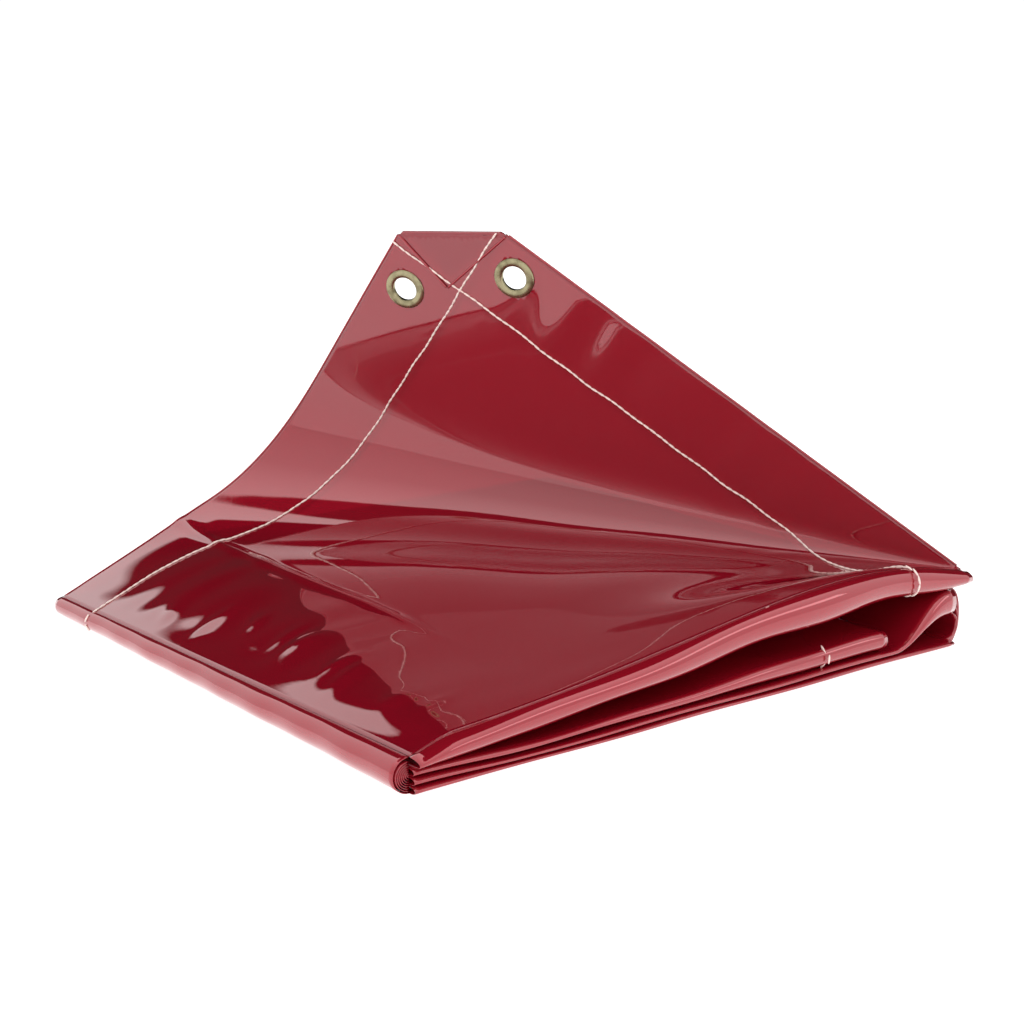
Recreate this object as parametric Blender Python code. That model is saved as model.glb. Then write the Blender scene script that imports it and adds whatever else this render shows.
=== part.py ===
"""Welding curtain screen: one square vinyl sheet with stitched hems and metal eyelets,
folded four by four into a flat packet, with one corner of its top layer standing up.

Metres, +Z up. The packet's edges run along X and Y. A place in the packet is given by u
(along X, from the left wrap to the right end) and v (along Y, from the front folds to the
back). The sixteen layers are counted from the top, 1, down to 16.
"""

import math

import bpy
import numpy as np
from mathutils import Matrix, Vector

# ---- the sheet
PANEL_U = 0.457          # length of one fold along u
PANEL_V = 0.450          # length of one fold along v
FILM = 0.0004            # thickness of the vinyl
GAP = 0.0003             # air left between touching pieces
HEM_WIDTH = 0.058        # turned-in edge, held by one row of stitches
SEAM_WIDTH = 0.0010
SEAM_HEIGHT = 0.0004
SEAM_GAP = 0.0008        # air under a row of stitches
LAYERS = 16

# ---- the folded packet
HEIGHT_FRONT = 0.020     # stack height at the front corner
HEIGHT_LEFT = 0.0135     # stack height at the left corner, inside the wrap
HEIGHT_RIGHT = 0.046     # stack height at the right corner
HEIGHT_SIDE = 0.046      # stack height behind the left wrap
HEIGHT_BACK = 0.055      # stack height at the back corner
WRAP_SHOULDER_FRONT = 0.030   # how far the left wrap takes to reach full height, at the front
WRAP_SHOULDER_BACK = 0.120    # the same at the back
EDGE_BLEND = 0.120       # how far the front fold levels reach into the packet
WRAP_BLEND = 0.070       # how far the left wrap's even spacing reaches
LAST_RUN_END = 0.375     # where the innermost run's hemmed end lies, along u
INNER_LOOP_INSET = 0.014  # how far the inner front loop lies behind the outer one
FRONT_BULGE = 0.009      # how far the top run's front fold stands out
LOWER_BULGE = 0.005      # the same for the runs below it
TOP_LIFT = 0.0015        # air under the top layer

# ---- the lifted corner, a conical bend about the right corner
APEX_HEIGHT = 0.052      # top layer at the right corner
FRONT_CORNER_HEIGHT = 0.026  # top layer at the front corner
BASE_TWIST = math.radians(3.7)
BEND_CENTRE = math.radians(56.7)
BEND_WIDTH = math.radians(25.0)
BEND_START = BEND_CENTRE - 0.5 * BEND_WIDTH
BEND_END = BEND_CENTRE + 0.5 * BEND_WIDTH
LEAN = math.radians(112.8)
APEX_CUT = 0.014         # bare stretch of the rays next to the apex
FRONT_RISE = 0.018       # how far the top layer arches along the front edge

# ---- the tip, folded back behind the corner
TIP_LEFT = 0.051         # from the corner to the fold, along the back hem
TIP_RIGHT = 0.065        # the same along the right hem
TIP_FOLD = math.radians(172.0)
TIP_AXIS_DEPTH = 0.0016  # the fold's axis behind the sheet's middle

# ---- the eyelets
EYELET_OUTER = 0.0147    # flange radius
EYELET_HOLE = 0.0088     # clear radius
EYELET_TUBE = 0.0006     # wall of the barrel
EYELET_CROWN = 0.0010    # height of the rolled flange
WASHER_THICKNESS = 0.0005
HEM_START = 0.0020       # hems and seams keep this far from the corner's hinge
SEAM_START = 0.0120      # a seam's end to the sheet's fold
NOSE_DEPTH = 0.0105      # how far the right turn of the lower runs stands out
EYELET_INSET = 0.024     # centre to the sheet's edge
EYELET_FIRST = 0.085     # centre to the sheet's corner, along the edge
EYELETS_PER_SIDE = 4
HEM_STACK = 2 * FILM + GAP
FRONT_FACE = FILM / 2 + GAP                # flange's inner face, in front of the film
BACK_FACE = FILM / 2 + FILM + 2 * GAP      # washer's inner face, behind the film
LIP_FACE = BACK_FACE + WASHER_THICKNESS + GAP
LIP_THICKNESS = 0.0003

# Room that the layers need under each other where the eyelets lie, top pair first.
PASS = 0.0020            # a flange faces a bare layer
PASS_BACK = 0.0028       # a washer faces a bare layer
MEET = 0.0049            # two washers face each other
BARE = 0.0012            # no eyelet on either layer
LAYER_GAPS = [PASS_BACK, PASS, MEET, PASS, MEET, PASS, MEET, PASS, MEET, PASS,
              BARE, BARE, BARE, PASS, MEET]
FLOOR_ROOM = 0.0020      # under the lowest layer's eyelets

# Which strip of the sheet each run shows at each level: the level of strips 1 to 4.
RUN_LEVELS = {1: (1, 4, 3, 2), 2: (16, 13, 14, 15), 3: (9, 12, 11, 10), 4: (8, 5, 6, 7)}
FACE_UP = {1: (True, False, True, False), 2: (False, True, False, True),
           3: (True, False, True, False), 4: (False, True, False, True)}

# ---- how finely the curved pieces are cut
U_STEPS_WRAP = 5
U_STEPS = 4
V_STEPS = 8
LOOP_STEPS = 6
TURN_STEPS = 8
HOLE_STEPS = 16
EYELET_STEPS = 24        # the two eyelets on the lifted corner
INNER_EYELET_STEPS = 10  # those inside the packet


# ------------------------------------------------------------------ small helpers
def smooth(x):
    x = np.clip(x, 0.0, 1.0)
    return x * x * (3.0 - 2.0 * x)


def mix(a, b, weight):
    return a + (b - a) * weight


def clear_scene():
    for thing in list(bpy.data.objects):
        bpy.data.objects.remove(thing, do_unlink=True)


def material(name, colour, roughness, metallic=0.0):
    made = bpy.data.materials.new(name)
    made.use_nodes = True
    shader = made.node_tree.nodes["Principled BSDF"]
    shader.inputs["Base Color"].default_value = (*colour, 1.0)
    shader.inputs["Roughness"].default_value = roughness
    shader.inputs["Metallic"].default_value = metallic
    return made


def add_object(name, vertices, faces, finish, parent=None, smooth_sides=False):
    mesh = bpy.data.meshes.new(name)
    mesh.from_pydata([tuple(p) for p in vertices], [], faces)
    mesh.materials.append(finish)
    mesh.validate()
    if smooth_sides:
        mesh.shade_smooth()
        mesh.set_sharp_from_angle(angle=math.radians(35))
    made = bpy.data.objects.new(name, mesh)
    bpy.context.scene.collection.objects.link(made)
    if parent is not None:
        made.parent = parent
        made.matrix_parent_inverse = Matrix.Translation(-parent.location)
    return made


# ------------------------------------------------------------------ the packet's heights
def stack_height(u, v):
    """Height of the stack under the top layer."""
    x, y = u / PANEL_U, v / PANEL_V
    full = (HEIGHT_FRONT * (1 - x) * (1 - y) + HEIGHT_RIGHT * x * (1 - y)
            + HEIGHT_SIDE * (1 - x) * y + HEIGHT_BACK * x * y)
    return mix(wrap_height(v), full, wrap_shoulder(u, v))


def wrap_height(v):
    """Height of the stack right at the left wrap."""
    return mix(HEIGHT_FRONT, HEIGHT_LEFT, v / PANEL_V)


def wrap_shoulder(u, v):
    """0 at the left wrap, rising to 1 where the stack has its full height."""
    reach = mix(WRAP_SHOULDER_FRONT, WRAP_SHOULDER_BACK, v / PANEL_V)
    return np.sin(0.5 * math.pi * np.clip(u / reach, 0.0, 1.0))


def top_front_height(u):
    """Height of the top layer along the front edge."""
    x = u / PANEL_U
    full = mix(FRONT_CORNER_HEIGHT, APEX_HEIGHT, x) + FRONT_RISE * np.sin(math.pi * x * x)
    return mix(wrap_height(0.0), full, wrap_shoulder(u, 0.0))


def front_level(layer, u):
    """Height of a layer along the front edge, where the runs part into separate folds."""
    x = u / PANEL_U
    top_low = 0.0155 + 0.027 * smooth(x / 0.85)
    top_high = top_front_height(u) - TOP_LIFT
    second_high = 0.0125 + 0.0095 * smooth((x - 0.2) / 0.6)
    second_low = 0.0078 + 0.0035 * x
    third_high = 0.0056 + 0.0035 * x
    if layer <= 4:
        return mix(top_high, top_low, (layer - 1) / 3)
    if layer <= 8:
        return mix(second_high, second_low, (layer - 5) / 3)
    return mix(third_high, FILM / 2, (layer - 9) / 7)


def wrap_level(layer, v):
    """Height of a layer right at the left wrap, where all are evenly spaced."""
    return mix(FILM / 2, wrap_height(v) - TOP_LIFT, (LAYERS - layer) / (LAYERS - 1))


def inner_level(layer, u, v):
    """Height of a layer inside the packet, with room for the eyelets."""
    below = sum(LAYER_GAPS[layer - 1:])
    whole = sum(LAYER_GAPS) + FLOOR_ROOM
    scale = (stack_height(u, v) - FLOOR_ROOM) / (whole - FLOOR_ROOM)
    lift = FLOOR_ROOM * smooth((v - 0.58 * PANEL_V) / (0.16 * PANEL_V))
    return FILM / 2 + lift + below * scale


def level(layer, u, v):
    """Height of a layer's middle at a place in the packet."""
    inside = inner_level(layer, u, v)
    near_front = 1.0 - smooth(v / EDGE_BLEND)
    near_wrap = 1.0 - smooth(u / WRAP_BLEND)
    return mix(mix(inside, front_level(layer, u), near_front), wrap_level(layer, v), near_wrap)


# ------------------------------------------------------------------ the lifted corner
def ray_table():
    """Azimuth and elevation of the rays that leave the right corner, by their flat angle."""
    angle = np.linspace(0.0, 0.5 * math.pi, 361)
    step = angle[1] - angle[0]
    heading = mix(BASE_TWIST, LEAN, smooth((angle - BEND_START) / BEND_WIDTH))
    mean = 0.5 * (heading[1:] + heading[:-1])
    first = math.asin((FRONT_CORNER_HEIGHT - APEX_HEIGHT) / PANEL_U)
    elevation = first + np.concatenate([[0.0], np.cumsum(np.sin(mean) * step)])
    turn = np.cos(mean) * step / np.cos(elevation[:-1])
    azimuth = np.concatenate([[0.0], np.cumsum(turn)])
    return angle, azimuth, elevation


RAYS = ray_table()


def sheet_point(s, t, depth=0.0):
    """Place of the top layer's point that lies at (s, t) on the flat panel, and depth
    behind the layer's middle."""
    place = np.array(bent_point(s, t))
    if depth:
        place = place - depth * sheet_normal(s, t)
    return place


def bent_point(s, t):
    reach = math.hypot(PANEL_U - s, t)
    angle = math.atan2(t, PANEL_U - s)
    azimuth = np.interp(angle, RAYS[0], RAYS[1])
    elevation = np.interp(angle, RAYS[0], RAYS[2])
    flat = reach * math.cos(elevation)
    x = PANEL_U - flat * math.cos(azimuth)
    y = flat * math.sin(azimuth)
    z = APEX_HEIGHT + reach * math.sin(elevation)
    near_front = (1.0 - smooth(t / EDGE_BLEND)) * (1.0 - smooth(angle / BEND_START))
    along = s / PANEL_U
    z += FRONT_RISE * math.sin(math.pi * along * along) * near_front
    return x, y, mix(wrap_height(t), z, wrap_shoulder(s, t))


def sheet_normal(s, t):
    """Unit normal on the side that faces up in the packet and forwards on the corner."""
    step = 0.0005
    along_s = np.array(bent_point(s + step, t)) - np.array(bent_point(s - step, t))
    along_t = np.array(bent_point(s, t + step)) - np.array(bent_point(s, t - step))
    normal = np.cross(along_s, along_t)
    return normal / np.linalg.norm(normal)


# ------------------------------------------------------------------ building solids
def grid_solid(name, middle, thickness, finish, parent=None):
    """A closed sheet of even thickness around a grid of middle points."""
    middle = np.asarray(middle, dtype=float)
    rows, columns = middle.shape[:2]
    across = np.gradient(middle, axis=0)
    along = np.gradient(middle, axis=1)
    normal = np.cross(across, along)
    normal /= np.maximum(np.linalg.norm(normal, axis=2, keepdims=True), 1e-12)
    upper = (middle + 0.5 * thickness * normal).reshape(-1, 3)
    lower = (middle - 0.5 * thickness * normal).reshape(-1, 3)
    count = rows * columns
    faces = []
    for i in range(rows - 1):
        for j in range(columns - 1):
            a, b = i * columns + j, i * columns + j + 1
            c, d = b + columns, a + columns
            faces += [(a, d, c, b), (a + count, b + count, c + count, d + count)]
    rim = ([(0, j) for j in range(columns)]
           + [(i, columns - 1) for i in range(1, rows)]
           + [(rows - 1, j) for j in range(columns - 2, -1, -1)]
           + [(i, 0) for i in range(rows - 2, 0, -1)])
    for k, (i, j) in enumerate(rim):
        i2, j2 = rim[(k + 1) % len(rim)]
        a, b = i * columns + j, i2 * columns + j2
        faces.append((a, b, b + count, a + count))
    return add_object(name, np.vstack([upper, lower]), faces, finish, parent, True)


def turned_solid(name, profile, steps, finish, parent=None):
    """A ring turned about Z from a closed profile of (radius, height) points, which run
    anticlockwise when radius points right and height up."""
    vertices, faces = [], []
    count = len(profile)
    for k in range(steps):
        angle = 2 * math.pi * k / steps
        for radius, height in profile:
            vertices.append((radius * math.cos(angle), radius * math.sin(angle), height))
    for k in range(steps):
        after = (k + 1) % steps
        for i in range(count):
            j = (i + 1) % count
            faces.append((k * count + i, after * count + i, after * count + j, k * count + j))
    return add_object(name, vertices, faces, finish, parent, True)


# ------------------------------------------------------------------ folded runs
def half_loop(start, end, bulge, steps, place):
    """Points of a half ellipse from start to end. place(distance, height) gives a point,
    where distance is how far the loop stands out."""
    centre, half = 0.5 * (start + end), 0.5 * (start - end)
    points = []
    for k in range(1, steps):
        angle = math.pi * k / steps
        points.append(place(bulge * math.sin(angle), centre + half * math.cos(angle)))
    return points


def strip_points(u, layer, v_from, v_to):
    values = np.linspace(v_from, v_to, V_STEPS)
    return [(u, v, float(level(layer, u, v))) for v in values]


def run_section(run, u, with_first_strip):
    """The path of one run's four strips through the packet, at one place along u."""
    first, second, third, fourth = RUN_LEVELS[run]
    bulge = FRONT_BULGE if run == 1 else LOWER_BULGE
    back, inset = PANEL_V, INNER_LOOP_INSET
    points = []
    if with_first_strip:
        points += strip_points(u, first, back, 0.0)
        start = level(first, u, 0.0)
    else:
        start = float(top_front_height(u))
        points.append((u, 0.0, start))
    points += half_loop(start, level(second, u, 0.0), bulge, LOOP_STEPS,
                        lambda out, z: (u, -out, z))
    points += strip_points(u, second, 0.0, back)
    near, far = level(second, u, back), level(third, u, back)
    points += half_loop(near, far, 0.5 * abs(near - far), LOOP_STEPS,
                        lambda out, z: (u, back + out, z))
    points += strip_points(u, third, back, inset)
    near, far = level(third, u, inset), level(fourth, u, inset)
    points += half_loop(near, far, 0.5 * abs(near - far), LOOP_STEPS,
                        lambda out, z: (u, inset - out, z))
    points += strip_points(u, fourth, inset, back)
    return points


def build_run(run, name, u_from, u_to, finish, with_first_strip=True):
    near_wrap = np.linspace(0.0, 1.2 * WRAP_BLEND, U_STEPS_WRAP)[1:]
    stations = [u_from, *near_wrap, *np.linspace(near_wrap[-1], u_to, U_STEPS)[1:]]
    sections = [run_section(run, float(u), with_first_strip) for u in stations]
    return grid_solid(name, sections, FILM, finish)


def build_turn(name, upper, lower, u, side, bulge, v_from, v_to, finish):
    """The piece of one strip that turns over from one run to the next, at u."""
    sections = []
    for v in np.linspace(v_from, v_to, V_STEPS):
        high = float(wrap_height(v)) if upper == 1 else float(level(upper, u, v))
        low = float(level(lower, u, v))
        out = bulge(high - low)
        place = lambda distance, z: (u + side * distance, v, z)
        ends = [(u, v, high)], [(u, v, low)]
        sections.append(ends[0] + half_loop(high, low, out, TURN_STEPS, place) + ends[1])
    return grid_solid(name, sections, FILM, finish)


# ------------------------------------------------------------------ the top layer
def flat_place(reach, angle):
    """The flat panel's (s, t) at a distance and angle from the right corner."""
    return PANEL_U - reach * math.cos(angle), reach * math.sin(angle)


def far_reach(angle):
    """How far a ray runs from the right corner to the panel's far edges."""
    to_left = (PANEL_U - 2 * GAP) / max(math.cos(angle), 1e-9)
    to_back = PANEL_V / max(math.sin(angle), 1e-9)
    return min(to_left, to_back) - GAP


def fold_reach(angle):
    """How far a ray runs to the tip's fold line, or without end if it misses it."""
    rate = math.cos(angle) / TIP_LEFT - math.sin(angle) / TIP_RIGHT
    return (1.0 - PANEL_V / TIP_RIGHT) / rate - GAP if rate < 0 else math.inf


def ray_grid(angles, reach_steps, hinge_row, hinge_gap, ends_at, depth=0.0):
    """Points over the top layer along rays of the right corner. ends_at gives how far a
    ray runs. The row at the hinge stands off it by hinge_gap."""
    sections = []
    for index, angle in enumerate(angles):
        row = []
        for share in np.linspace(0.0, 1.0, reach_steps) ** 0.8:
            reach = mix(APEX_CUT, ends_at(angle), share)
            turn = hinge_gap / reach if index == hinge_row else 0.0
            row.append(sheet_point(*flat_place(reach, angle + turn), depth))
        sections.append(row)
    return sections


def sheet_end(angle):
    """Where a ray leaves the sheet, or meets the tip's fold."""
    return min(far_reach(angle), fold_reach(angle))


def hem_end(angle):
    """Where a ray leaves the right hem's turned-in layer."""
    return min(HEM_WIDTH / max(math.cos(angle), 1e-9), sheet_end(angle) - GAP)


def corner_angles():
    """Rays over the lifted corner, close together where it bends."""
    tip_start = math.atan2(PANEL_V, TIP_LEFT)
    return [*np.linspace(BEND_CENTRE, BEND_END, 12),
            *np.linspace(BEND_END, tip_start, 5)[1:],
            *np.linspace(tip_start, 0.5 * math.pi, 4)[1:]]


def build_top_panel(finish):
    angles = [*np.linspace(GAP / PANEL_U, BEND_START, 9),
              *np.linspace(BEND_START, BEND_CENTRE, 9)[1:]]
    points = ray_grid(angles, 18, len(angles) - 1, -GAP, sheet_end)
    return grid_solid("top_panel", points, FILM, finish)


def build_corner_flap(finish, parent):
    points = ray_grid(corner_angles(), 16, 0, GAP, sheet_end)
    return grid_solid("corner_flap", points, FILM, finish, parent)


def build_left_hem(finish, parent):
    """The turned-in layer behind the corner's back edge."""
    depth = FILM + GAP
    sections = []
    for t in np.linspace(PANEL_V - HEM_WIDTH, PANEL_V - GAP, 4):
        start = PANEL_U - t / math.tan(BEND_CENTRE) + HEM_START
        bend_end = PANEL_U - t / math.tan(BEND_END)
        end = PANEL_U - HEM_WIDTH - GAP
        along = [*np.linspace(start, bend_end, 14), *np.linspace(bend_end, end, 5)[1:]]
        sections.append([sheet_point(s, t, depth) for s in along])
    return grid_solid("corner_hem_left", sections, FILM, finish, parent)


def build_right_hem(finish, parent):
    """The turned-in layer behind the corner's right edge, up to the tip's fold."""
    points = ray_grid(corner_angles(), 16, 0, HEM_START, hem_end, FILM + GAP)
    return grid_solid("corner_hem_right", points, FILM, finish, parent)


def build_seam(name, ends, finish, parent=None, steps=14):
    """A row of stitches as one low strip on the front of the sheet, between two (s, t)."""
    (s0, t0), (s1, t1) = ends
    length = math.hypot(s1 - s0, t1 - t0)
    across = ((t1 - t0) / length, -(s1 - s0) / length)
    depth = -(0.5 * FILM + SEAM_GAP + 0.5 * SEAM_HEIGHT)
    sections = []
    for side in (-0.5 * SEAM_WIDTH, 0.0, 0.5 * SEAM_WIDTH):
        row = []
        for share in np.linspace(0.0, 1.0, steps):
            s = mix(s0, s1, share) + side * across[0]
            t = mix(t0, t1, share) + side * across[1]
            row.append(sheet_point(s, t, depth))
        sections.append(row)
    return grid_solid(name, sections, SEAM_HEIGHT, finish, parent)


def build_seams(finish, parent):
    """The two rows of stitches on the top layer, on either side of the corner's hinge."""
    left_t, right_s = PANEL_V - HEM_WIDTH, PANEL_U - HEM_WIDTH
    hinge_s = PANEL_U - left_t / math.tan(BEND_CENTRE)
    hinge_t = HEM_WIDTH * math.tan(BEND_CENTRE)
    build_seam("seam_left_packet", ((SEAM_START, left_t), (hinge_s - HEM_START, left_t)), finish)
    build_seam("seam_left_corner",
               ((hinge_s + HEM_START, left_t), (right_s - 2 * SEAM_WIDTH, left_t)),
               finish, parent)
    build_seam("seam_right_packet", ((right_s, SEAM_START), (right_s, hinge_t - HEM_START)),
               finish)
    fold = PANEL_V - TIP_RIGHT * (1.0 - HEM_WIDTH / TIP_LEFT)
    build_seam("seam_right_corner",
               ((right_s, hinge_t + HEM_START), (right_s, min(fold, PANEL_V) - SEAM_START)),
               finish, parent)


# ------------------------------------------------------------------ the folded tip
def tip_frame():
    """The tip's fold: its middle, its direction, the way out of the sheet and the normal."""
    left = sheet_point(PANEL_U - TIP_LEFT, PANEL_V)
    right = sheet_point(PANEL_U, PANEL_V - TIP_RIGHT)
    middle = 0.5 * (left + right)
    along = (right - left) / np.linalg.norm(right - left)
    normal = sheet_normal(PANEL_U - 0.5 * TIP_LEFT, PANEL_V - 0.5 * TIP_RIGHT)
    outwards = np.cross(normal, along)
    return middle, along, outwards / np.linalg.norm(outwards), normal


def build_tip(finish, parent):
    """The corner's tip, all its turned-in layers as one plate, folded back behind."""
    middle, along, outwards, normal = tip_frame()
    width = math.hypot(TIP_LEFT, TIP_RIGHT)
    height = TIP_LEFT * TIP_RIGHT / width
    foot = TIP_LEFT ** 2 / width - 0.5 * width
    outline = [(-0.5 * width + 2 * GAP, 2 * GAP), (0.5 * width - 2 * GAP, 2 * GAP),
               (foot, height - 2 * GAP)]
    axis = middle - TIP_AXIS_DEPTH * normal
    turn = np.array(Matrix.Rotation(TIP_FOLD, 3, Vector(along)))
    if np.dot(turn @ outwards, outwards) < 0 and np.dot(turn @ normal, outwards) < 0:
        turn = turn.T
    vertices = []
    for face in (0.5 * FILM, 0.5 * FILM - HEM_STACK):
        for x, y in outline:
            point = middle + x * along + y * outwards + face * normal
            vertices.append(axis + turn @ (point - axis))
    faces = [(0, 1, 2), (5, 4, 3), (0, 3, 4, 1), (1, 4, 5, 2), (2, 5, 3, 0)]
    made = add_object("corner_tip", vertices, faces, finish, parent)
    face_outwards(made)
    return made


def face_outwards(made):
    """Turns a convex solid's faces outwards."""
    mesh = made.data
    centre = sum((v.co for v in mesh.vertices), Vector()) / len(mesh.vertices)
    inward = [f for f in mesh.polygons if f.normal.dot(f.center - centre) < 0]
    if inward:
        mesh.flip_normals()


# ------------------------------------------------------------------ eyelets
def eyelet_profiles():
    """Closed outlines (radius, height) of the flanged barrel and of its washer. Height 0 is
    the film's middle and the rolled flange is on the front, at +height."""
    hole, tube, outer = EYELET_HOLE, EYELET_HOLE + EYELET_TUBE, EYELET_OUTER
    crown = FRONT_FACE + EYELET_CROWN
    lip = LIP_FACE + LIP_THICKNESS
    barrel = [(hole, -lip), (tube + 0.0016, -lip), (tube + 0.0016, -LIP_FACE),
              (tube, -LIP_FACE), (tube, FRONT_FACE), (outer, FRONT_FACE),
              (outer - 0.0004, FRONT_FACE + 0.6 * EYELET_CROWN),
              (outer - 0.0018, crown), (hole + 0.0018, crown),
              (hole + 0.0004, FRONT_FACE + 0.6 * EYELET_CROWN)]
    washer = [(tube + GAP, -BACK_FACE - WASHER_THICKNESS), (outer, -BACK_FACE - WASHER_THICKNESS),
              (outer, -BACK_FACE), (tube + GAP, -BACK_FACE)]
    return barrel, washer


def turn_to(normal):
    """Rotation that takes +Z to a normal."""
    return Vector((0, 0, 1)).rotation_difference(Vector(normal)).to_matrix().to_4x4()


def build_eyelet(name, centre, normal, steps, finish, parent=None):
    barrel, washer = eyelet_profiles()
    place = Matrix.Translation(Vector(centre)) @ turn_to(normal)
    for suffix, profile in (("_barrel", barrel), ("_washer", washer)):
        made = turned_solid(name + suffix, profile, steps, finish, parent)
        made.data.transform(place)


def level_normal(layer, u, v):
    step = 0.002
    slope_u = (level(layer, u + step, v) - level(layer, u - step, v)) / (2 * step)
    slope_v = (level(layer, u, v + step) - level(layer, u, v - step)) / (2 * step)
    normal = np.array([-slope_u, -slope_v, 1.0])
    return normal / np.linalg.norm(normal)


def packet_eyelets():
    """(name, run, strip, u, v) of each eyelet that lies inside the packet."""
    side_u = 3 * PANEL_U + LAST_RUN_END
    side_v = 4 * PANEL_V
    found = []
    for k in range(EYELETS_PER_SIDE):
        x = mix(EYELET_FIRST, side_u - EYELET_FIRST, k / (EYELETS_PER_SIDE - 1))
        y = mix(EYELET_FIRST, side_v - EYELET_FIRST, k / (EYELETS_PER_SIDE - 1))
        run = min(int(x / PANEL_U), 3) + 1
        rest = x - (run - 1) * PANEL_U
        u = PANEL_U - rest if run in (1, 3) else rest
        strip = min(int(y / PANEL_V), 3) + 1
        rest = y - (strip - 1) * PANEL_V
        v = PANEL_V - rest if strip in (1, 3) else rest
        back = PANEL_V - EYELET_INSET
        if run != 1:
            found.append((f"eyelet_top_{k + 1}", run, 1, u, back))
        found.append((f"eyelet_bottom_{k + 1}", run, 4, u, back))
        if strip != 1:
            found.append((f"eyelet_right_{k + 1}", 1, strip, PANEL_U - EYELET_INSET, v))
        found.append((f"eyelet_left_{k + 1}", 4, strip, LAST_RUN_END - EYELET_INSET, v))
    return found


def build_eyelets(finish, corner):
    """All eyelets. Returns {run: [(centre, normal), ...]} of the holes that they need."""
    holes = {1: [], 2: [], 3: [], 4: [], "corner": []}
    visible = {"eyelet_top_1": (PANEL_U - EYELET_FIRST, PANEL_V - EYELET_INSET),
               "eyelet_right_1": (PANEL_U - EYELET_INSET, PANEL_V - EYELET_FIRST)}
    for name, (s, t) in visible.items():
        centre, normal = sheet_point(s, t), sheet_normal(s, t)
        build_eyelet(name, centre, normal, EYELET_STEPS, finish, corner)
        holes["corner"].append((centre, normal))
    for name, run, strip, u, v in packet_eyelets():
        layer = RUN_LEVELS[run][strip - 1]
        normal = level_normal(layer, u, v)
        if not FACE_UP[run][strip - 1]:
            normal = -normal
        centre = np.array([u, v, float(level(layer, u, v))])
        build_eyelet(name, centre, normal, INNER_EYELET_STEPS, finish)
        holes[run].append((centre, normal))
    return holes


def cut_holes(sheet, holes, depth):
    """Cuts the eyelets' holes through a sheet, each no deeper than its own layer."""
    radius = EYELET_HOLE + EYELET_TUBE + GAP
    vertices, faces = [], []
    steps = HOLE_STEPS
    for centre, normal in holes:
        place = Matrix.Translation(Vector(centre)) @ turn_to(normal)
        base = len(vertices)
        for height in (-depth, depth):
            for k in range(steps):
                angle = 2 * math.pi * k / steps
                spot = Vector((radius * math.cos(angle), radius * math.sin(angle), height))
                vertices.append(place @ spot)
        ring = list(range(steps))
        faces.append([base + k for k in reversed(ring)])
        faces.append([base + steps + k for k in ring])
        for k in ring:
            after = (k + 1) % steps
            faces.append([base + k, base + after, base + steps + after, base + steps + k])
    cutter = add_object(sheet.name + "_holes", vertices, faces, sheet.data.materials[0],
                        sheet.parent)
    cutter.hide_render = True
    cutter.display_type = "WIRE"
    cut = sheet.modifiers.new("eyelet_holes", "BOOLEAN")
    cut.operation = "DIFFERENCE"
    cut.solver = "EXACT"
    cut.object = cutter


# ------------------------------------------------------------------ the whole object
def add_hinge(name, place, parent=None):
    """An empty that stands on a hinge's axis and carries what turns about it."""
    hinge = bpy.data.objects.new(name, None)
    bpy.context.scene.collection.objects.link(hinge)
    hinge.empty_display_size = 0.05
    hinge.location = Vector(place)
    if parent is not None:
        hinge.parent = parent
        hinge.matrix_parent_inverse = Matrix.Translation(-parent.location)
    return hinge


def build_packet(film):
    """The folded runs and their turns. Returns the runs by number."""
    run_end = PANEL_U - NOSE_DEPTH
    start = 2 * GAP
    runs = {1: build_run(1, "run_1_under_top", start, PANEL_U - 2 * GAP, film, False),
            2: build_run(2, "run_2_bottom", start, run_end, film),
            3: build_run(3, "run_3_middle", start, run_end, film),
            4: build_run(4, "run_4_inner", start, LAST_RUN_END, film)}
    half = LAYERS // 2
    round_turn = lambda height: 0.5 * height
    for upper in range(1, half + 1):
        lower = LAYERS + 1 - upper
        name = f"left_wrap_{upper}" if upper <= 4 else f"left_inner_turn_{upper - 4}"
        build_turn(name, upper, lower, 0.0, -1, round_turn, 0.0, PANEL_V, film)
    nose = lambda height: min(0.45 * height, NOSE_DEPTH - GAP)
    for step in range(4):
        build_turn(f"right_nose_{step + 1}", 9 + step, 16 - step, run_end + 2 * GAP, 1, nose,
                   0.0, PANEL_V, film)
    return runs


def stand_on_origin():
    """Moves the whole object so that the middle of its base is at the origin."""
    bpy.context.view_layer.update()
    low, high = Vector((1e9,) * 3), Vector((-1e9,) * 3)
    for thing in bpy.data.objects:
        if thing.type != "MESH" or thing.hide_render:
            continue
        for vertex in thing.data.vertices:
            place = thing.matrix_world @ vertex.co
            low = Vector(map(min, low, place))
            high = Vector(map(max, high, place))
    centre = Vector((0.5 * (low.x + high.x), 0.5 * (low.y + high.y), low.z))
    for thing in bpy.data.objects:
        if thing.parent is None:
            thing.location -= centre


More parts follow.
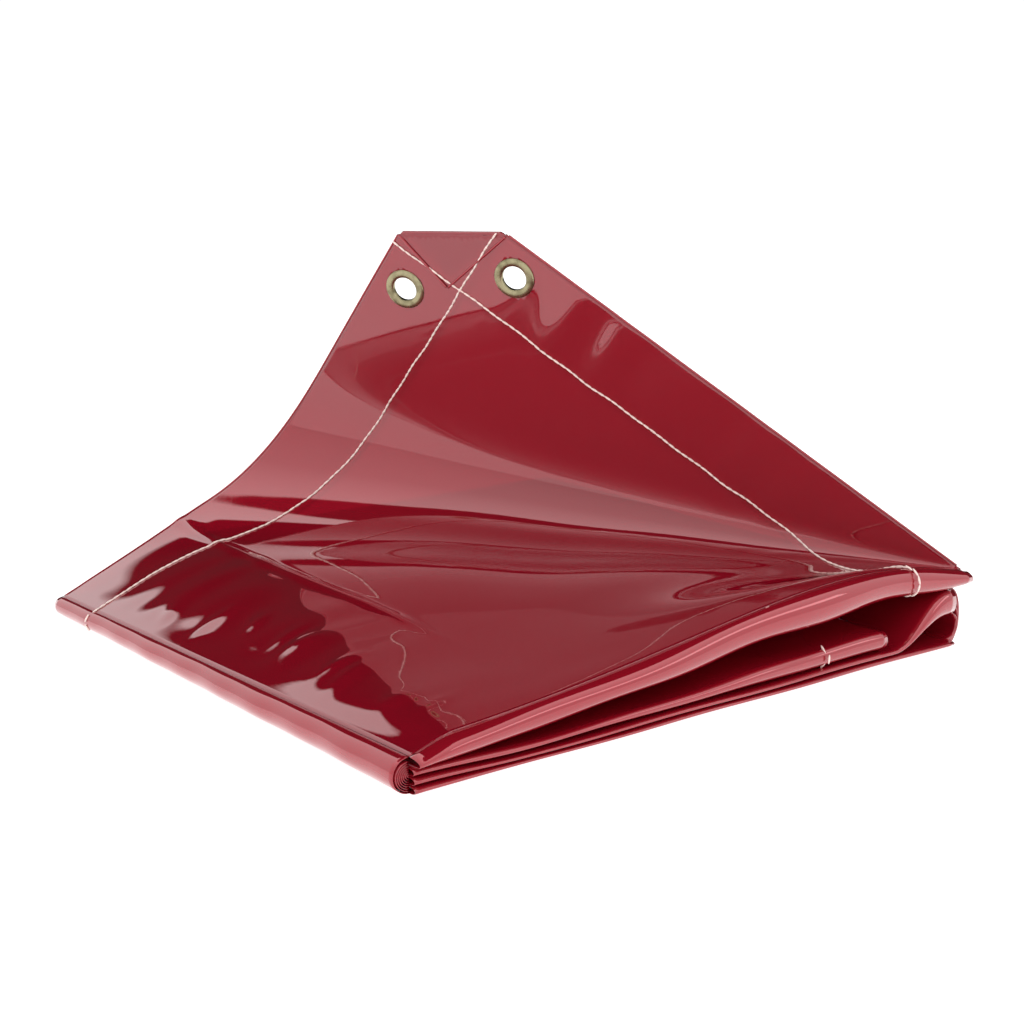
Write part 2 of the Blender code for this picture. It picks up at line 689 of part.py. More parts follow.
def main():
    clear_scene()
    film = material("vinyl", (0.45, 0.01, 0.03), 0.08)
    thread = material("thread", (0.85, 0.75, 0.66), 0.8)
    metal = material("eyelet_metal", (0.62, 0.57, 0.42), 0.25, 1.0)

    hinge_place = sheet_point(*flat_place(0.5 * far_reach(BEND_CENTRE), BEND_CENTRE))
    corner = add_hinge("corner_hinge", hinge_place)
    middle, _, _, normal = tip_frame()
    tip = add_hinge("tip_hinge", middle - TIP_AXIS_DEPTH * normal, corner)

    runs = build_packet(film)
    build_top_panel(film)
    flap = build_corner_flap(film, corner)
    hems = [build_left_hem(film, corner), build_right_hem(film, corner)]
    build_seams(thread, corner)
    build_tip(film, tip)

    holes = build_eyelets(metal, corner)
    for run, sheet in runs.items():
        if holes[run]:
            cut_holes(sheet, holes[run], PASS / 2)
    cut_holes(flap, holes["corner"], FILM / 2 + GAP / 2)
    for hem, hole in zip(hems, holes["corner"]):
        cut_holes(hem, [hole], 4 * FILM)
    stand_on_origin()


main()
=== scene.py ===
"""Looks of a folded welding curtain: clear red film folded into a flat packet, one corner up.

A place in the packet is given by u (from the left wrap to the right end) and v (from the
front folds to the back hem); (s, t) are the same two on the flat top layer of the sheet.
Sizes are in metres.
"""

import logging
import math
from dataclasses import dataclass, field
from enum import Enum

import bmesh
import bpy
import numpy as np
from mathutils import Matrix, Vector

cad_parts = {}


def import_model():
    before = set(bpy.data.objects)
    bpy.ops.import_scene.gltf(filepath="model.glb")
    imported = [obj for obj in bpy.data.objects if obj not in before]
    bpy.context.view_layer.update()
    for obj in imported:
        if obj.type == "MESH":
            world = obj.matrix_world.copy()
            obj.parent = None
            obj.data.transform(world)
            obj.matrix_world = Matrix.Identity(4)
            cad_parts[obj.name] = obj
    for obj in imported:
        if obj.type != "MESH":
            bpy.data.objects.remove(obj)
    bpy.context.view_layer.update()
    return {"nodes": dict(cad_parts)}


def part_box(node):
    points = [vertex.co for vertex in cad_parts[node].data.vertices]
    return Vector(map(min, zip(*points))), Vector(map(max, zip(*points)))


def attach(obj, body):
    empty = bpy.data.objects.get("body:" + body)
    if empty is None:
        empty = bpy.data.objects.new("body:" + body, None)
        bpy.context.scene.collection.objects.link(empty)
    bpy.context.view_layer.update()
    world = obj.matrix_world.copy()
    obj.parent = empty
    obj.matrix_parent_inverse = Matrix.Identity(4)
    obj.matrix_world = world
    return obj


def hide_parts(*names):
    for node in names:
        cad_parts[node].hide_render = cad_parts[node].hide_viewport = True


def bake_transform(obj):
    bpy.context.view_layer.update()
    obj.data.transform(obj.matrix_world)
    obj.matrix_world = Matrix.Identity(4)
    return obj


LOG = logging.getLogger("welding_curtain")
CAMERA_OFFSET = (0.4396, 0.6515, 0.3086)  # left of and before the packet's front corner, and up
EYELET_INSET = 0.024  # centre to the sheet's edge
EYELET_FIRST = 0.085  # centre to the sheet's corner, along the edge
Numbers = float | np.ndarray
LAYERS = 16


class Body(str, Enum):
    """The rigid bodies that pieces move with."""

    PACKET = "packet"
    CORNER = "corner"
    TIP = "tip"


class Edge(str, Enum):
    """The two hemmed edges of the top layer."""

    LEFT = "left"
    RIGHT = "right"


# ------------------------------------------------------------------ small helpers
def smooth(x: Numbers) -> Numbers:
    """Smooth step from 0 to 1 over x from 0 to 1."""
    x = np.clip(x, 0.0, 1.0)
    return x * x * (3.0 - 2.0 * x)


def mix(a: Numbers, b: Numbers, weight: Numbers) -> Numbers:
    """Blend of a and b, all a at weight 0."""
    return a + (b - a) * weight


def bump_at(x: np.ndarray, centre: float, width: float) -> np.ndarray:
    """A bell of height 1 about centre."""
    return np.exp(-(((x - centre) / width) ** 2))


def unit(vector: np.ndarray) -> np.ndarray:
    """Vectors along the last axis brought to length 1."""
    return vector / np.maximum(np.linalg.norm(vector, axis=-1, keepdims=True), 1e-12)


def grid_object(name: str, points: np.ndarray, keep: np.ndarray | None = None) -> bpy.types.Object:
    """An open grid surface.

    Args:
        name: the object's name.
        points: rows by columns by 3 places.
        keep: rows - 1 by columns - 1 flags, False where a face is left out.

    Returns:
        The new object, whose faces point along (row direction) x (column direction).
    """
    rows, columns = points.shape[:2]
    index = np.arange(rows * columns).reshape(rows, columns)
    quads = np.stack([index[:-1, :-1], index[1:, :-1], index[1:, 1:], index[:-1, 1:]], axis=-1)
    if keep is not None:
        quads = quads[keep]
    mesh = bpy.data.meshes.new(name)
    mesh.from_pydata(points.reshape(-1, 3).tolist(), [], quads.reshape(-1, 4).tolist())
    mesh.validate()
    if keep is not None:
        drop_loose(mesh)
    mesh.shade_smooth()
    made = bpy.data.objects.new(name, mesh)
    bpy.context.scene.collection.objects.link(made)
    return made


def drop_loose(mesh: bpy.types.Mesh) -> None:
    """Removes the vertices that no face uses.

    Args:
        mesh: the mesh to clear.
    """
    work = bmesh.new()
    work.from_mesh(mesh)
    bmesh.ops.delete(work, geom=[v for v in work.verts if not v.link_faces], context="VERTS")
    work.to_mesh(mesh)
    work.free()


def apply_modifiers(made: bpy.types.Object) -> None:
    """Turns an object's evaluated shape into its plain mesh.

    Args:
        made: the object; its modifiers are removed.
    """
    depsgraph = bpy.context.evaluated_depsgraph_get()
    depsgraph.update()
    mesh = bpy.data.meshes.new_from_object(made.evaluated_get(depsgraph))
    made.modifiers.clear()
    old = made.data
    made.data = mesh
    mesh.name = made.name
    if old.users == 0:
        bpy.data.meshes.remove(old)


def thicken(made: bpy.types.Object, thickness: float) -> None:
    """Gives an open surface an even wall around its middle.

    Args:
        made: the open surface.
        thickness: of the wall.
    """
    wall = made.modifiers.new("wall", "SOLIDIFY")
    wall.thickness = thickness
    wall.offset = 0.0
    wall.use_even_offset = False
    apply_modifiers(made)
    made.data.shade_smooth()


# ------------------------------------------------------------------ finishes
def new_group(name: str, inputs: dict[str, float], outputs: list[str]) -> bpy.types.ShaderNodeTree:
    """A shader node group with float inputs and outputs.

    Args:
        name: the group's name.
        inputs: their names and starting values.
        outputs: their names.

    Returns:
        The new group, without nodes.
    """
    group = bpy.data.node_groups.new(name, "ShaderNodeTree")
    for label, value in inputs.items():
        socket = group.interface.new_socket(name=label, in_out="INPUT", socket_type="NodeSocketFloat")
        socket.default_value = value
    for label in outputs:
        group.interface.new_socket(name=label, in_out="OUTPUT", socket_type="NodeSocketFloat")
    return group


def film_surface_group() -> bpy.types.ShaderNodeTree:
    """The fine relief of pressed vinyl film.

    Returns:
        A group with inputs Wave Scale, Wave Height, Grain Height and Smear, and outputs
        Height (metres) and Roughness, both varying over the surface.
    """
    group = new_group(
        "vinyl_surface",
        {"Wave Scale": 9.0, "Wave Height": 0.0006, "Grain Height": 0.00001, "Smear": 0.03},
        ["Height", "Roughness"],
    )
    nodes, links = group.nodes, group.links
    given = nodes.new("NodeGroupInput")
    result = nodes.new("NodeGroupOutput")
    place = nodes.new("ShaderNodeTexCoord")

    wave = nodes.new("ShaderNodeTexNoise")
    wave.inputs["Detail"].default_value = 1.5
    wave.inputs["Distortion"].default_value = 0.6
    links.new(place.outputs["Object"], wave.inputs["Vector"])
    links.new(given.outputs["Wave Scale"], wave.inputs["Scale"])
    wave_height = nodes.new("ShaderNodeMath")
    wave_height.operation = "MULTIPLY"
    links.new(wave.outputs["Fac"], wave_height.inputs[0])
    links.new(given.outputs["Wave Height"], wave_height.inputs[1])

    grain = nodes.new("ShaderNodeTexNoise")
    grain.inputs["Scale"].default_value = 420.0
    grain.inputs["Detail"].default_value = 2.0
    links.new(place.outputs["Object"], grain.inputs["Vector"])
    grain_height = nodes.new("ShaderNodeMath")
    grain_height.operation = "MULTIPLY_ADD"
    links.new(grain.outputs["Fac"], grain_height.inputs[0])
    links.new(given.outputs["Grain Height"], grain_height.inputs[1])
    links.new(wave_height.outputs[0], grain_height.inputs[2])
    links.new(grain_height.outputs[0], result.inputs["Height"])

    handling = nodes.new("ShaderNodeTexNoise")
    handling.inputs["Scale"].default_value = 26.0
    handling.inputs["Detail"].default_value = 3.0
    links.new(place.outputs["Object"], handling.inputs["Vector"])
    roughness = nodes.new("ShaderNodeMath")
    roughness.operation = "MULTIPLY"
    links.new(handling.outputs["Fac"], roughness.inputs[0])
    links.new(given.outputs["Smear"], roughness.inputs[1])
    links.new(roughness.outputs[0], result.inputs["Roughness"])
    return group


@dataclass(frozen=True)
class FilmFinish:
    """Clear or packed red vinyl film."""

    name: str
    tint: tuple[float, float, float]
    transmission: float = 1.0
    metallic: float = 0.5
    coat: float = 1.0
    smear: float = 0.04
    wave_scale: float = 9.0
    wave_height: float = 0.0005
    ior: float = 1.5

    def material(self, surface: bpy.types.ShaderNodeTree) -> bpy.types.Material:
        """Builds the material.

        Args:
            surface: the film surface group.

        Returns:
            The new material.
        """
        made = bpy.data.materials.new(self.name)
        made.use_nodes = True
        nodes, links = made.node_tree.nodes, made.node_tree.links
        shader = nodes["Principled BSDF"]
        shader.inputs["Base Color"].default_value = (*self.tint, 1.0)
        shader.inputs["IOR"].default_value = self.ior
        shader.inputs["Transmission Weight"].default_value = self.transmission
        shader.inputs["Metallic"].default_value = self.metallic
        shader.inputs["Coat Weight"].default_value = self.coat
        shader.inputs["Coat Roughness"].default_value = 0.02
        relief = nodes.new("ShaderNodeGroup")
        relief.node_tree = surface
        relief.inputs["Wave Scale"].default_value = self.wave_scale
        relief.inputs["Wave Height"].default_value = self.wave_height
        relief.inputs["Smear"].default_value = self.smear
        links.new(relief.outputs["Roughness"], shader.inputs["Roughness"])
        bump = nodes.new("ShaderNodeBump")
        bump.inputs["Distance"].default_value = 1.0
        links.new(relief.outputs["Height"], bump.inputs["Height"])
        links.new(bump.outputs["Normal"], shader.inputs["Normal"])
        return made


@dataclass(frozen=True)
class ThreadFinish:
    """Twisted pale sewing thread, with painted shade in the grooves between its plies."""

    name: str = "stitch_thread"
    light: tuple[float, float, float] = (1.0, 0.86, 0.80)
    # painted shade: the darker colour that the grooves between the plies get
    groove_shade: tuple[float, float, float] = (0.80, 0.52, 0.46)
    twist_scale: float = 900.0

    def material(self) -> bpy.types.Material:
        """Builds the material.

        Returns:
            The new material.
        """
        made = bpy.data.materials.new(self.name)
        made.use_nodes = True
        nodes, links = made.node_tree.nodes, made.node_tree.links
        shader = nodes["Principled BSDF"]
        place = nodes.new("ShaderNodeTexCoord")
        ply = nodes.new("ShaderNodeTexWave")
        ply.bands_direction = "DIAGONAL"
        ply.inputs["Scale"].default_value = self.twist_scale
        ply.inputs["Distortion"].default_value = 1.0
        links.new(place.outputs["Object"], ply.inputs["Vector"])
        # painted shade: where the twist's wave is low, as in its bump, the colour goes to the darker one
        colour = nodes.new("ShaderNodeMix")
        colour.data_type = "RGBA"
        colour.inputs["A"].default_value = (*self.groove_shade, 1.0)
        colour.inputs["B"].default_value = (*self.light, 1.0)
        ramp = nodes.new("ShaderNodeMapRange")
        ramp.inputs["From Min"].default_value = 0.0
        ramp.inputs["From Max"].default_value = 0.45
        links.new(ply.outputs["Fac"], ramp.inputs["Value"])
        links.new(ramp.outputs["Result"], colour.inputs["Factor"])
        links.new(colour.outputs["Result"], shader.inputs["Base Color"])
        shader.inputs["Roughness"].default_value = 0.7
        bump = nodes.new("ShaderNodeBump")
        bump.inputs["Distance"].default_value = 0.00008
        links.new(ply.outputs["Fac"], bump.inputs["Height"])
        links.new(bump.outputs["Normal"], shader.inputs["Normal"])
        return made


@dataclass(frozen=True)
class MetalFinish:
    """Plated brass with a faint drawn grain and dull patches."""

    name: str = "eyelet_brass"
    bright: tuple[float, float, float] = (0.34, 0.30, 0.18)
    dull: tuple[float, float, float] = (0.14, 0.12, 0.065)

    def material(self) -> bpy.types.Material:
        """Builds the material.

        Returns:
            The new material.
        """
        made = bpy.data.materials.new(self.name)
        made.use_nodes = True
        nodes, links = made.node_tree.nodes, made.node_tree.links
        shader = nodes["Principled BSDF"]
        shader.inputs["Metallic"].default_value = 1.0
        place = nodes.new("ShaderNodeTexCoord")
        patches = nodes.new("ShaderNodeTexNoise")
        patches.inputs["Scale"].default_value = 130.0
        patches.inputs["Detail"].default_value = 4.0
        links.new(place.outputs["Object"], patches.inputs["Vector"])
        colour = nodes.new("ShaderNodeMix")
        colour.data_type = "RGBA"
        colour.inputs["A"].default_value = (*self.bright, 1.0)
        colour.inputs["B"].default_value = (*self.dull, 1.0)
        spread = nodes.new("ShaderNodeMapRange")
        spread.inputs["From Min"].default_value = 0.45
        spread.inputs["From Max"].default_value = 0.75
        links.new(patches.outputs["Fac"], spread.inputs["Value"])
        links.new(spread.outputs["Result"], colour.inputs["Factor"])
        links.new(colour.outputs["Result"], shader.inputs["Base Color"])
        rough = nodes.new("ShaderNodeMapRange")
        rough.inputs["To Min"].default_value = 0.16
        rough.inputs["To Max"].default_value = 0.36
        links.new(patches.outputs["Fac"], rough.inputs["Value"])
        links.new(rough.outputs["Result"], shader.inputs["Roughness"])
        bump = nodes.new("ShaderNodeBump")
        bump.inputs["Distance"].default_value = 0.00003
        links.new(patches.outputs["Fac"], bump.inputs["Height"])
        links.new(bump.outputs["Normal"], shader.inputs["Normal"])
        return made


@dataclass
class Finishes:
    """Every material of the curtain."""

    clear: FilmFinish = FilmFinish("clear_red_film", (0.36, 0.004, 0.018), 0.40, 0.10)
    behind: FilmFinish = FilmFinish("turned_in_film", (0.90, 0.66, 0.70), metallic=0.0, coat=0.0,
                                    wave_height=0.0004)
    packed: FilmFinish = FilmFinish("packed_red_film", (0.32, 0.005, 0.016), 0.0, 0.30,
                                    wave_height=0.0003)
    thread: ThreadFinish = ThreadFinish()
    metal: MetalFinish = MetalFinish()
    built: dict[str, bpy.types.Material] = field(default_factory=dict)

    def build(self) -> None:
        """Builds all materials once."""
        surface = film_surface_group()
        for film in (self.clear, self.behind, self.packed):
            self.built[film.name] = film.material(surface)
        self.built[self.thread.name] = self.thread.material()
        self.built[self.metal.name] = self.metal.material()

    def dress(self, piece: bpy.types.Object, finish: FilmFinish | ThreadFinish | MetalFinish,
              slot: str) -> None:
        """Puts a finish on a piece.

        Args:
            piece: the piece.
            finish: one of the finishes that build has made.
            slot: not used.
        """
        piece.data.materials.clear()
        piece.data.materials.append(self.built[finish.name])


# ------------------------------------------------------------------ the packet's shape
@dataclass(frozen=True)
class Dent:
    """A small oval bump pressed into the top film."""

    s: float
    t: float
    long: float
    wide: float
    height: float
    turn: float = 0.0

    def height_at(self, s: np.ndarray, t: np.ndarray) -> np.ndarray:
        """Height of the bump at flat places.

        Args:
            s: flat places along u, on the sheet.
            t: flat places along v, on the sheet.

        Returns:
            Heights above the film.
        """
        ds, dt = s - self.s, t - self.t
        along = ds * math.cos(self.turn) + dt * math.sin(self.turn)
        across = dt * math.cos(self.turn) - ds * math.sin(self.turn)
        return self.height * np.exp(-((along / self.long) ** 2) - (across / self.wide) ** 2)


def scattered_dents(count: int = 9, seed: int = 5) -> tuple[Dent, ...]:
    """Small oval bumps strewn along the left strip by a fixed seed.

    Args:
        count: how many bumps.
        seed: fixes where they lie and how large they are.

    Returns:
        The bumps, from the front of the strip to its back.
    """
    draw = np.random.default_rng(seed)
    dents = []
    for t in np.linspace(0.03, 0.31, count):
        dents.append(Dent(s=draw.uniform(0.022, 0.048), t=t + draw.uniform(-0.010, 0.010),
                          long=draw.uniform(0.010, 0.018), wide=draw.uniform(0.004, 0.007),
                          height=draw.uniform(0.0009, 0.0014), turn=draw.uniform(-0.1, 0.8)))
    return tuple(dents)


STRIP_DENTS = scattered_dents()


@dataclass(frozen=True)
class PacketShape:
    """Where the sheet and its folded layers lie."""

    origin: tuple[float, float]
    length_u: float = 0.457
    length_v: float = 0.450
    film: float = 0.0004
    gap: float = 0.0003
    hem_width: float = 0.058
    height_front: float = 0.020
    height_left: float = 0.0135
    height_right: float = 0.046
    height_side: float = 0.046
    height_back: float = 0.055
    shoulder_front: float = 0.030
    shoulder_back: float = 0.120
    edge_blend: float = 0.120
    wrap_blend: float = 0.070
    top_lift: float = 0.0015
    floor_room: float = 0.0020

    # relief of the top layer
    ripple_height: float = 0.0003
    ripple_pitch: float = 0.0085
    crease_height: float = 0.0016
    slack_height: float = 0.0016
    pucker_height: float = 0.0009

    # the lifted corner, a conical bend about the right corner
    apex_height: float = 0.052
    front_corner_height: float = 0.026
    front_rise: float = 0.018
    base_twist: float = math.radians(3.7)
    bend_centre: float = math.radians(56.7)
    bend_width: float = math.radians(25.0)
    lean: float = math.radians(112.8)

    # the right ends of the middle layers swell up and close the mouth under the top run
    swollen: dict[int, float] = field(
        default_factory=lambda: {9: 1.0, 10: 0.84, 11: 0.66, 12: 0.50})

    # the folded tip
    tip_left: float = 0.051
    tip_right: float = 0.065

    @property
    def bend_start(self) -> float:
        """Flat angle of the ray where the bend starts."""
        return self.bend_centre - 0.5 * self.bend_width

    def layer_gaps(self) -> np.ndarray:
        """Relative room under each layer, from the top layer down.

        Returns:
            One number for each layer that has another under it, and one for the last.
        """
        bare, passing, back, meeting = 0.0012, 0.0020, 0.0028, 0.0049
        eyelet_pairs = [passing, meeting] * 4
        return np.array([back, *eyelet_pairs, passing, bare, bare, bare, passing, meeting])

    def stack_height(self, u: np.ndarray, v: np.ndarray) -> np.ndarray:
        """Height of the stack under the top layer.

        Args:
            u: places along the packet.
            v: places from front to back.

        Returns:
            Heights.
        """
        x, y = u / self.length_u, v / self.length_v
        full = (self.height_front * (1 - x) * (1 - y) + self.height_right * x * (1 - y)
                + self.height_side * (1 - x) * y + self.height_back * x * y)
        return mix(self.wrap_height(v), full, self.shoulder(u, v))

    def wrap_height(self, v: np.ndarray) -> np.ndarray:
        """Height of the stack right at the left wrap."""
        return mix(self.height_front, self.height_left, v / self.length_v)

    def shoulder(self, u: np.ndarray, v: np.ndarray) -> np.ndarray:
        """0 at the left wrap, rising to 1 where the stack has its full height."""
        reach = mix(self.shoulder_front, self.shoulder_back, v / self.length_v)
        return np.sin(0.5 * math.pi * np.clip(u / reach, 0.0, 1.0))

    def top_front_height(self, u: np.ndarray) -> np.ndarray:
        """Height of the top layer along the front edge.

        Args:
            u: places along the packet.

        Returns:
            Heights.
        """
        x = u / self.length_u
        full = mix(self.front_corner_height, self.apex_height, x)
        full = full + self.front_rise * np.sin(math.pi * x * x)
        return mix(self.wrap_height(0.0), full, self.shoulder(u, 0.0))

    def front_level(self, layer: int, u: np.ndarray) -> np.ndarray:
        """Height of a layer along the front edge, where the runs part into separate folds.

        Args:
            layer: counted from the top, 1 to 16.
            u: places along the packet.

        Returns:
            Heights.
        """
        x = u / self.length_u
        wave = 1.0 + 0.035 * np.sin(u / 0.019 + 0.8 * (layer // 4)) * smooth(x / 0.2)
        if layer <= 4:
            top_low = 0.0155 + 0.027 * smooth(x / 0.85)
            top_high = self.top_front_height(u) - self.top_lift
            return mix(top_high, top_low * wave, (layer - 1) / 3)
        if layer <= 8:
            high = 0.0125 + 0.0095 * smooth((x - 0.2) / 0.6)
            low = 0.0078 + 0.0035 * x
            return mix(high, low, (layer - 5) / 3) * wave
        high = 0.0056 + 0.0035 * x
        return mix(high, 0.5 * self.film, (layer - 9) / 7)

    def wrap_level(self, layer: int, v: np.ndarray) -> np.ndarray:
        """Height of a layer right at the left wrap, where all are evenly spaced."""
        share = (LAYERS - layer) / (LAYERS - 1)
        return mix(0.5 * self.film, self.wrap_height(v) - self.top_lift, share)

    def inner_level(self, layer: int, u: np.ndarray, v: np.ndarray) -> np.ndarray:
        """Height of a layer inside the packet, with room for the eyelets.

        Args:
            layer: counted from the top, 1 to 16.
            u: places along the packet.
            v: places from front to back.

        Returns:
            Heights.
        """
        gaps = self.layer_gaps()
        scale = (self.stack_height(u, v) - self.floor_room) / gaps.sum()
        lift = self.floor_room * smooth((v - 0.58 * self.length_v) / (0.16 * self.length_v))
        return 0.5 * self.film + lift + gaps[layer - 1:].sum() * scale

    def level(self, layer: int, u: np.ndarray, v: np.ndarray) -> np.ndarray:
        """Height of a layer's middle at a place in the packet.

        Args:
            layer: counted from the top, 1 to 16.
            u: places along the packet.
            v: places from front to back.

        Returns:
            Heights.
        """
        inside = self.inner_level(layer, u, v)
        near_front = 1.0 - smooth(v / self.edge_blend)
        near_wrap = 1.0 - smooth(u / self.wrap_blend)
        height = mix(inside, self.front_level(layer, u), near_front)
        height = mix(height, self.wrap_level(layer, v), near_wrap)
        if layer in self.swollen:
            clear = 0.0014 + 0.006 * smooth((v - 0.12) / 0.04)
            room = self.level(4, u, v) - clear - height
            height = height + self.swollen[layer] * smooth((u - 0.385) / 0.055) * room
        return height

    def place(self, u: np.ndarray, v: np.ndarray, z: np.ndarray) -> np.ndarray:
        """World places of packet coordinates."""
        u, v, z = np.broadcast_arrays(u, v, z)
        return np.stack([u + self.origin[0], v + self.origin[1], z], axis=-1)

    # the top layer
    def rays(self) -> tuple[np.ndarray, np.ndarray, np.ndarray]:
        """Flat angle, azimuth and elevation of the rays that leave the right corner.

        Returns:
            The three, one value for each ray, in radians.
        """
        angle = np.linspace(0.0, 0.5 * math.pi, 721)
        step = angle[1] - angle[0]
        bend = smooth((angle - self.bend_start) / self.bend_width)
        heading = mix(self.base_twist, self.lean, bend)
        mean = 0.5 * (heading[1:] + heading[:-1])
        first = math.asin((self.front_corner_height - self.apex_height) / self.length_u)
        elevation = first + np.concatenate([[0.0], np.cumsum(np.sin(mean) * step)])
        turn = np.cos(mean) * step / np.cos(elevation[:-1])
        return angle, np.concatenate([[0.0], np.cumsum(turn)]), elevation

    def bent(self, s: np.ndarray, t: np.ndarray) -> np.ndarray:
        """Places of the top layer's plain surface.

        Args:
            s: flat places along u, on the sheet.
            t: flat places along v, on the sheet.

        Returns:
            World places, without bulges or ripples.
        """
        s, t = np.broadcast_arrays(np.asarray(s, float), np.asarray(t, float))
        table = self.rays()
        reach = np.hypot(self.length_u - s, t)
        angle = np.arctan2(t, self.length_u - s)
        azimuth = np.interp(angle, table[0], table[1])
        elevation = np.interp(angle, table[0], table[2])
        flat = reach * np.cos(elevation)
        z = self.apex_height + reach * np.sin(elevation)
        near_front = (1 - smooth(t / self.edge_blend)) * (1 - smooth(angle / self.bend_start))
        z = z + self.front_rise * np.sin(math.pi * (s / self.length_u) ** 2) * near_front
        z = mix(self.wrap_height(t), z, self.shoulder(s, t))
        return self.place(self.length_u - flat * np.cos(azimuth), flat * np.sin(azimuth), z)

    def normal(self, s: np.ndarray, t: np.ndarray) -> np.ndarray:
        """Unit normals, up on the packet and forwards on the corner.

        Args:
            s: flat places along u, on the sheet.
            t: flat places along v, on the sheet.

        Returns:
            The normals.
        """
        step = 0.0008
        along_s = self.bent(s + step, t) - self.bent(s - step, t)
        along_t = self.bent(s, t + step) - self.bent(s, t - step)
        return unit(np.cross(along_s, along_t))

    def relief(self, s: np.ndarray, t: np.ndarray) -> np.ndarray:
        """Gentle bulges, ripples and creases of the top layer, along its normal.

        Args:
            s: flat places along u, on the sheet.
            t: flat places along v, on the sheet.

        Returns:
            Heights above the plain surface.
        """
        b, a = self.length_u, self.length_v
        held = smooth(t / 0.03) * smooth(s / 0.02) * smooth((b - s) / 0.01 + 0.3)
        strip = smooth(s / 0.03) * (1 - smooth((s - 0.085) / 0.03)) * smooth(t / 0.06)
        phase = t / self.ripple_pitch + 9.0 * s + 1.3 * np.sin(t / 0.027)
        ripples = self.ripple_height * np.sin(phase) * strip
        for dent in STRIP_DENTS:
            ripples = ripples + dent.height_at(s, t)
        ridge = bump_at(s, 0.096 + 0.03 * (a - t), 0.0045)
        crease = self.crease_height * ridge * smooth((t - 0.10) / 0.08)
        crease = crease * (1 - 0.5 * smooth((t - a + 0.05) / 0.04))
        slack = self.slack_height * np.sin(s / 0.041 + 1.3 + 0.8 * np.sin(t / 0.06))
        slack = slack * np.sin(t / 0.055 + 0.4)
        panel = smooth((b - s) / 0.15) * (1 - smooth((t - 0.25) / 0.15))
        hem = bump_at(s, b - 0.5 * self.hem_width, 0.032) * smooth((t - 0.05) / 0.12)
        hem = hem * (1 - smooth((t - a + 0.13) / 0.05))
        phase = t / self.ripple_pitch + 1.2 * np.sin(t / 0.023) + 20.0 * (b - s)
        pucker = self.pucker_height * np.sin(phase) * hem
        return (ripples + crease + slack * panel + pucker) * held

    def surface(self, s: np.ndarray, t: np.ndarray, depth: float | np.ndarray = 0.0) -> np.ndarray:
        """Places of the top layer, depth behind its middle."""
        height = self.relief(s, t) - depth
        return self.bent(s, t) + height[..., None] * self.normal(s, t)

    def hinge_span(self, half: float) -> tuple[np.ndarray, np.ndarray]:
        """Two places on either side of the corner's hinge, across it.

        Args:
            half: how far each lies from the hinge.

        Returns:
            The packet's side and the corner's side.
        """
        reach = 0.5 * self.length_v / math.sin(self.bend_centre)
        s = self.length_u - reach * math.cos(self.bend_centre)
        t = reach * math.sin(self.bend_centre)
        middle, normal = self.bent(s, t), self.normal(s, t)
        axis = unit(self.bent(s, t) - self.bent(self.length_u - 1e-3, 2e-3))
        across = unit(np.cross(axis, normal))
        if across @ np.array([1.0, 1.0, 0.0]) < 0:
            across = -across
        return middle - half * across, middle + half * across

    def in_tip(self, s: np.ndarray, t: np.ndarray, margin: float = 0.0) -> np.ndarray:
        """True beyond the tip's fold line."""
        x, y = self.length_u - s, self.length_v - t
        return x / (self.tip_left + margin) + y / (self.tip_right + margin) < 1.0


RUN_LEVELS = {1: (1, 4, 3, 2), 2: (16, 13, 14, 15), 3: (9, 12, 11, 10), 4: (8, 5, 6, 7)}


HINGE_HALF = 0.045


def blend_to_corner(piece: bpy.types.Object, shape: PacketShape) -> None:
    """Bakes a piece's place into its mesh; the span across the corner's hinge is worked out but not used.
    """
    start, end = shape.hinge_span(HINGE_HALF)
    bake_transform(piece)


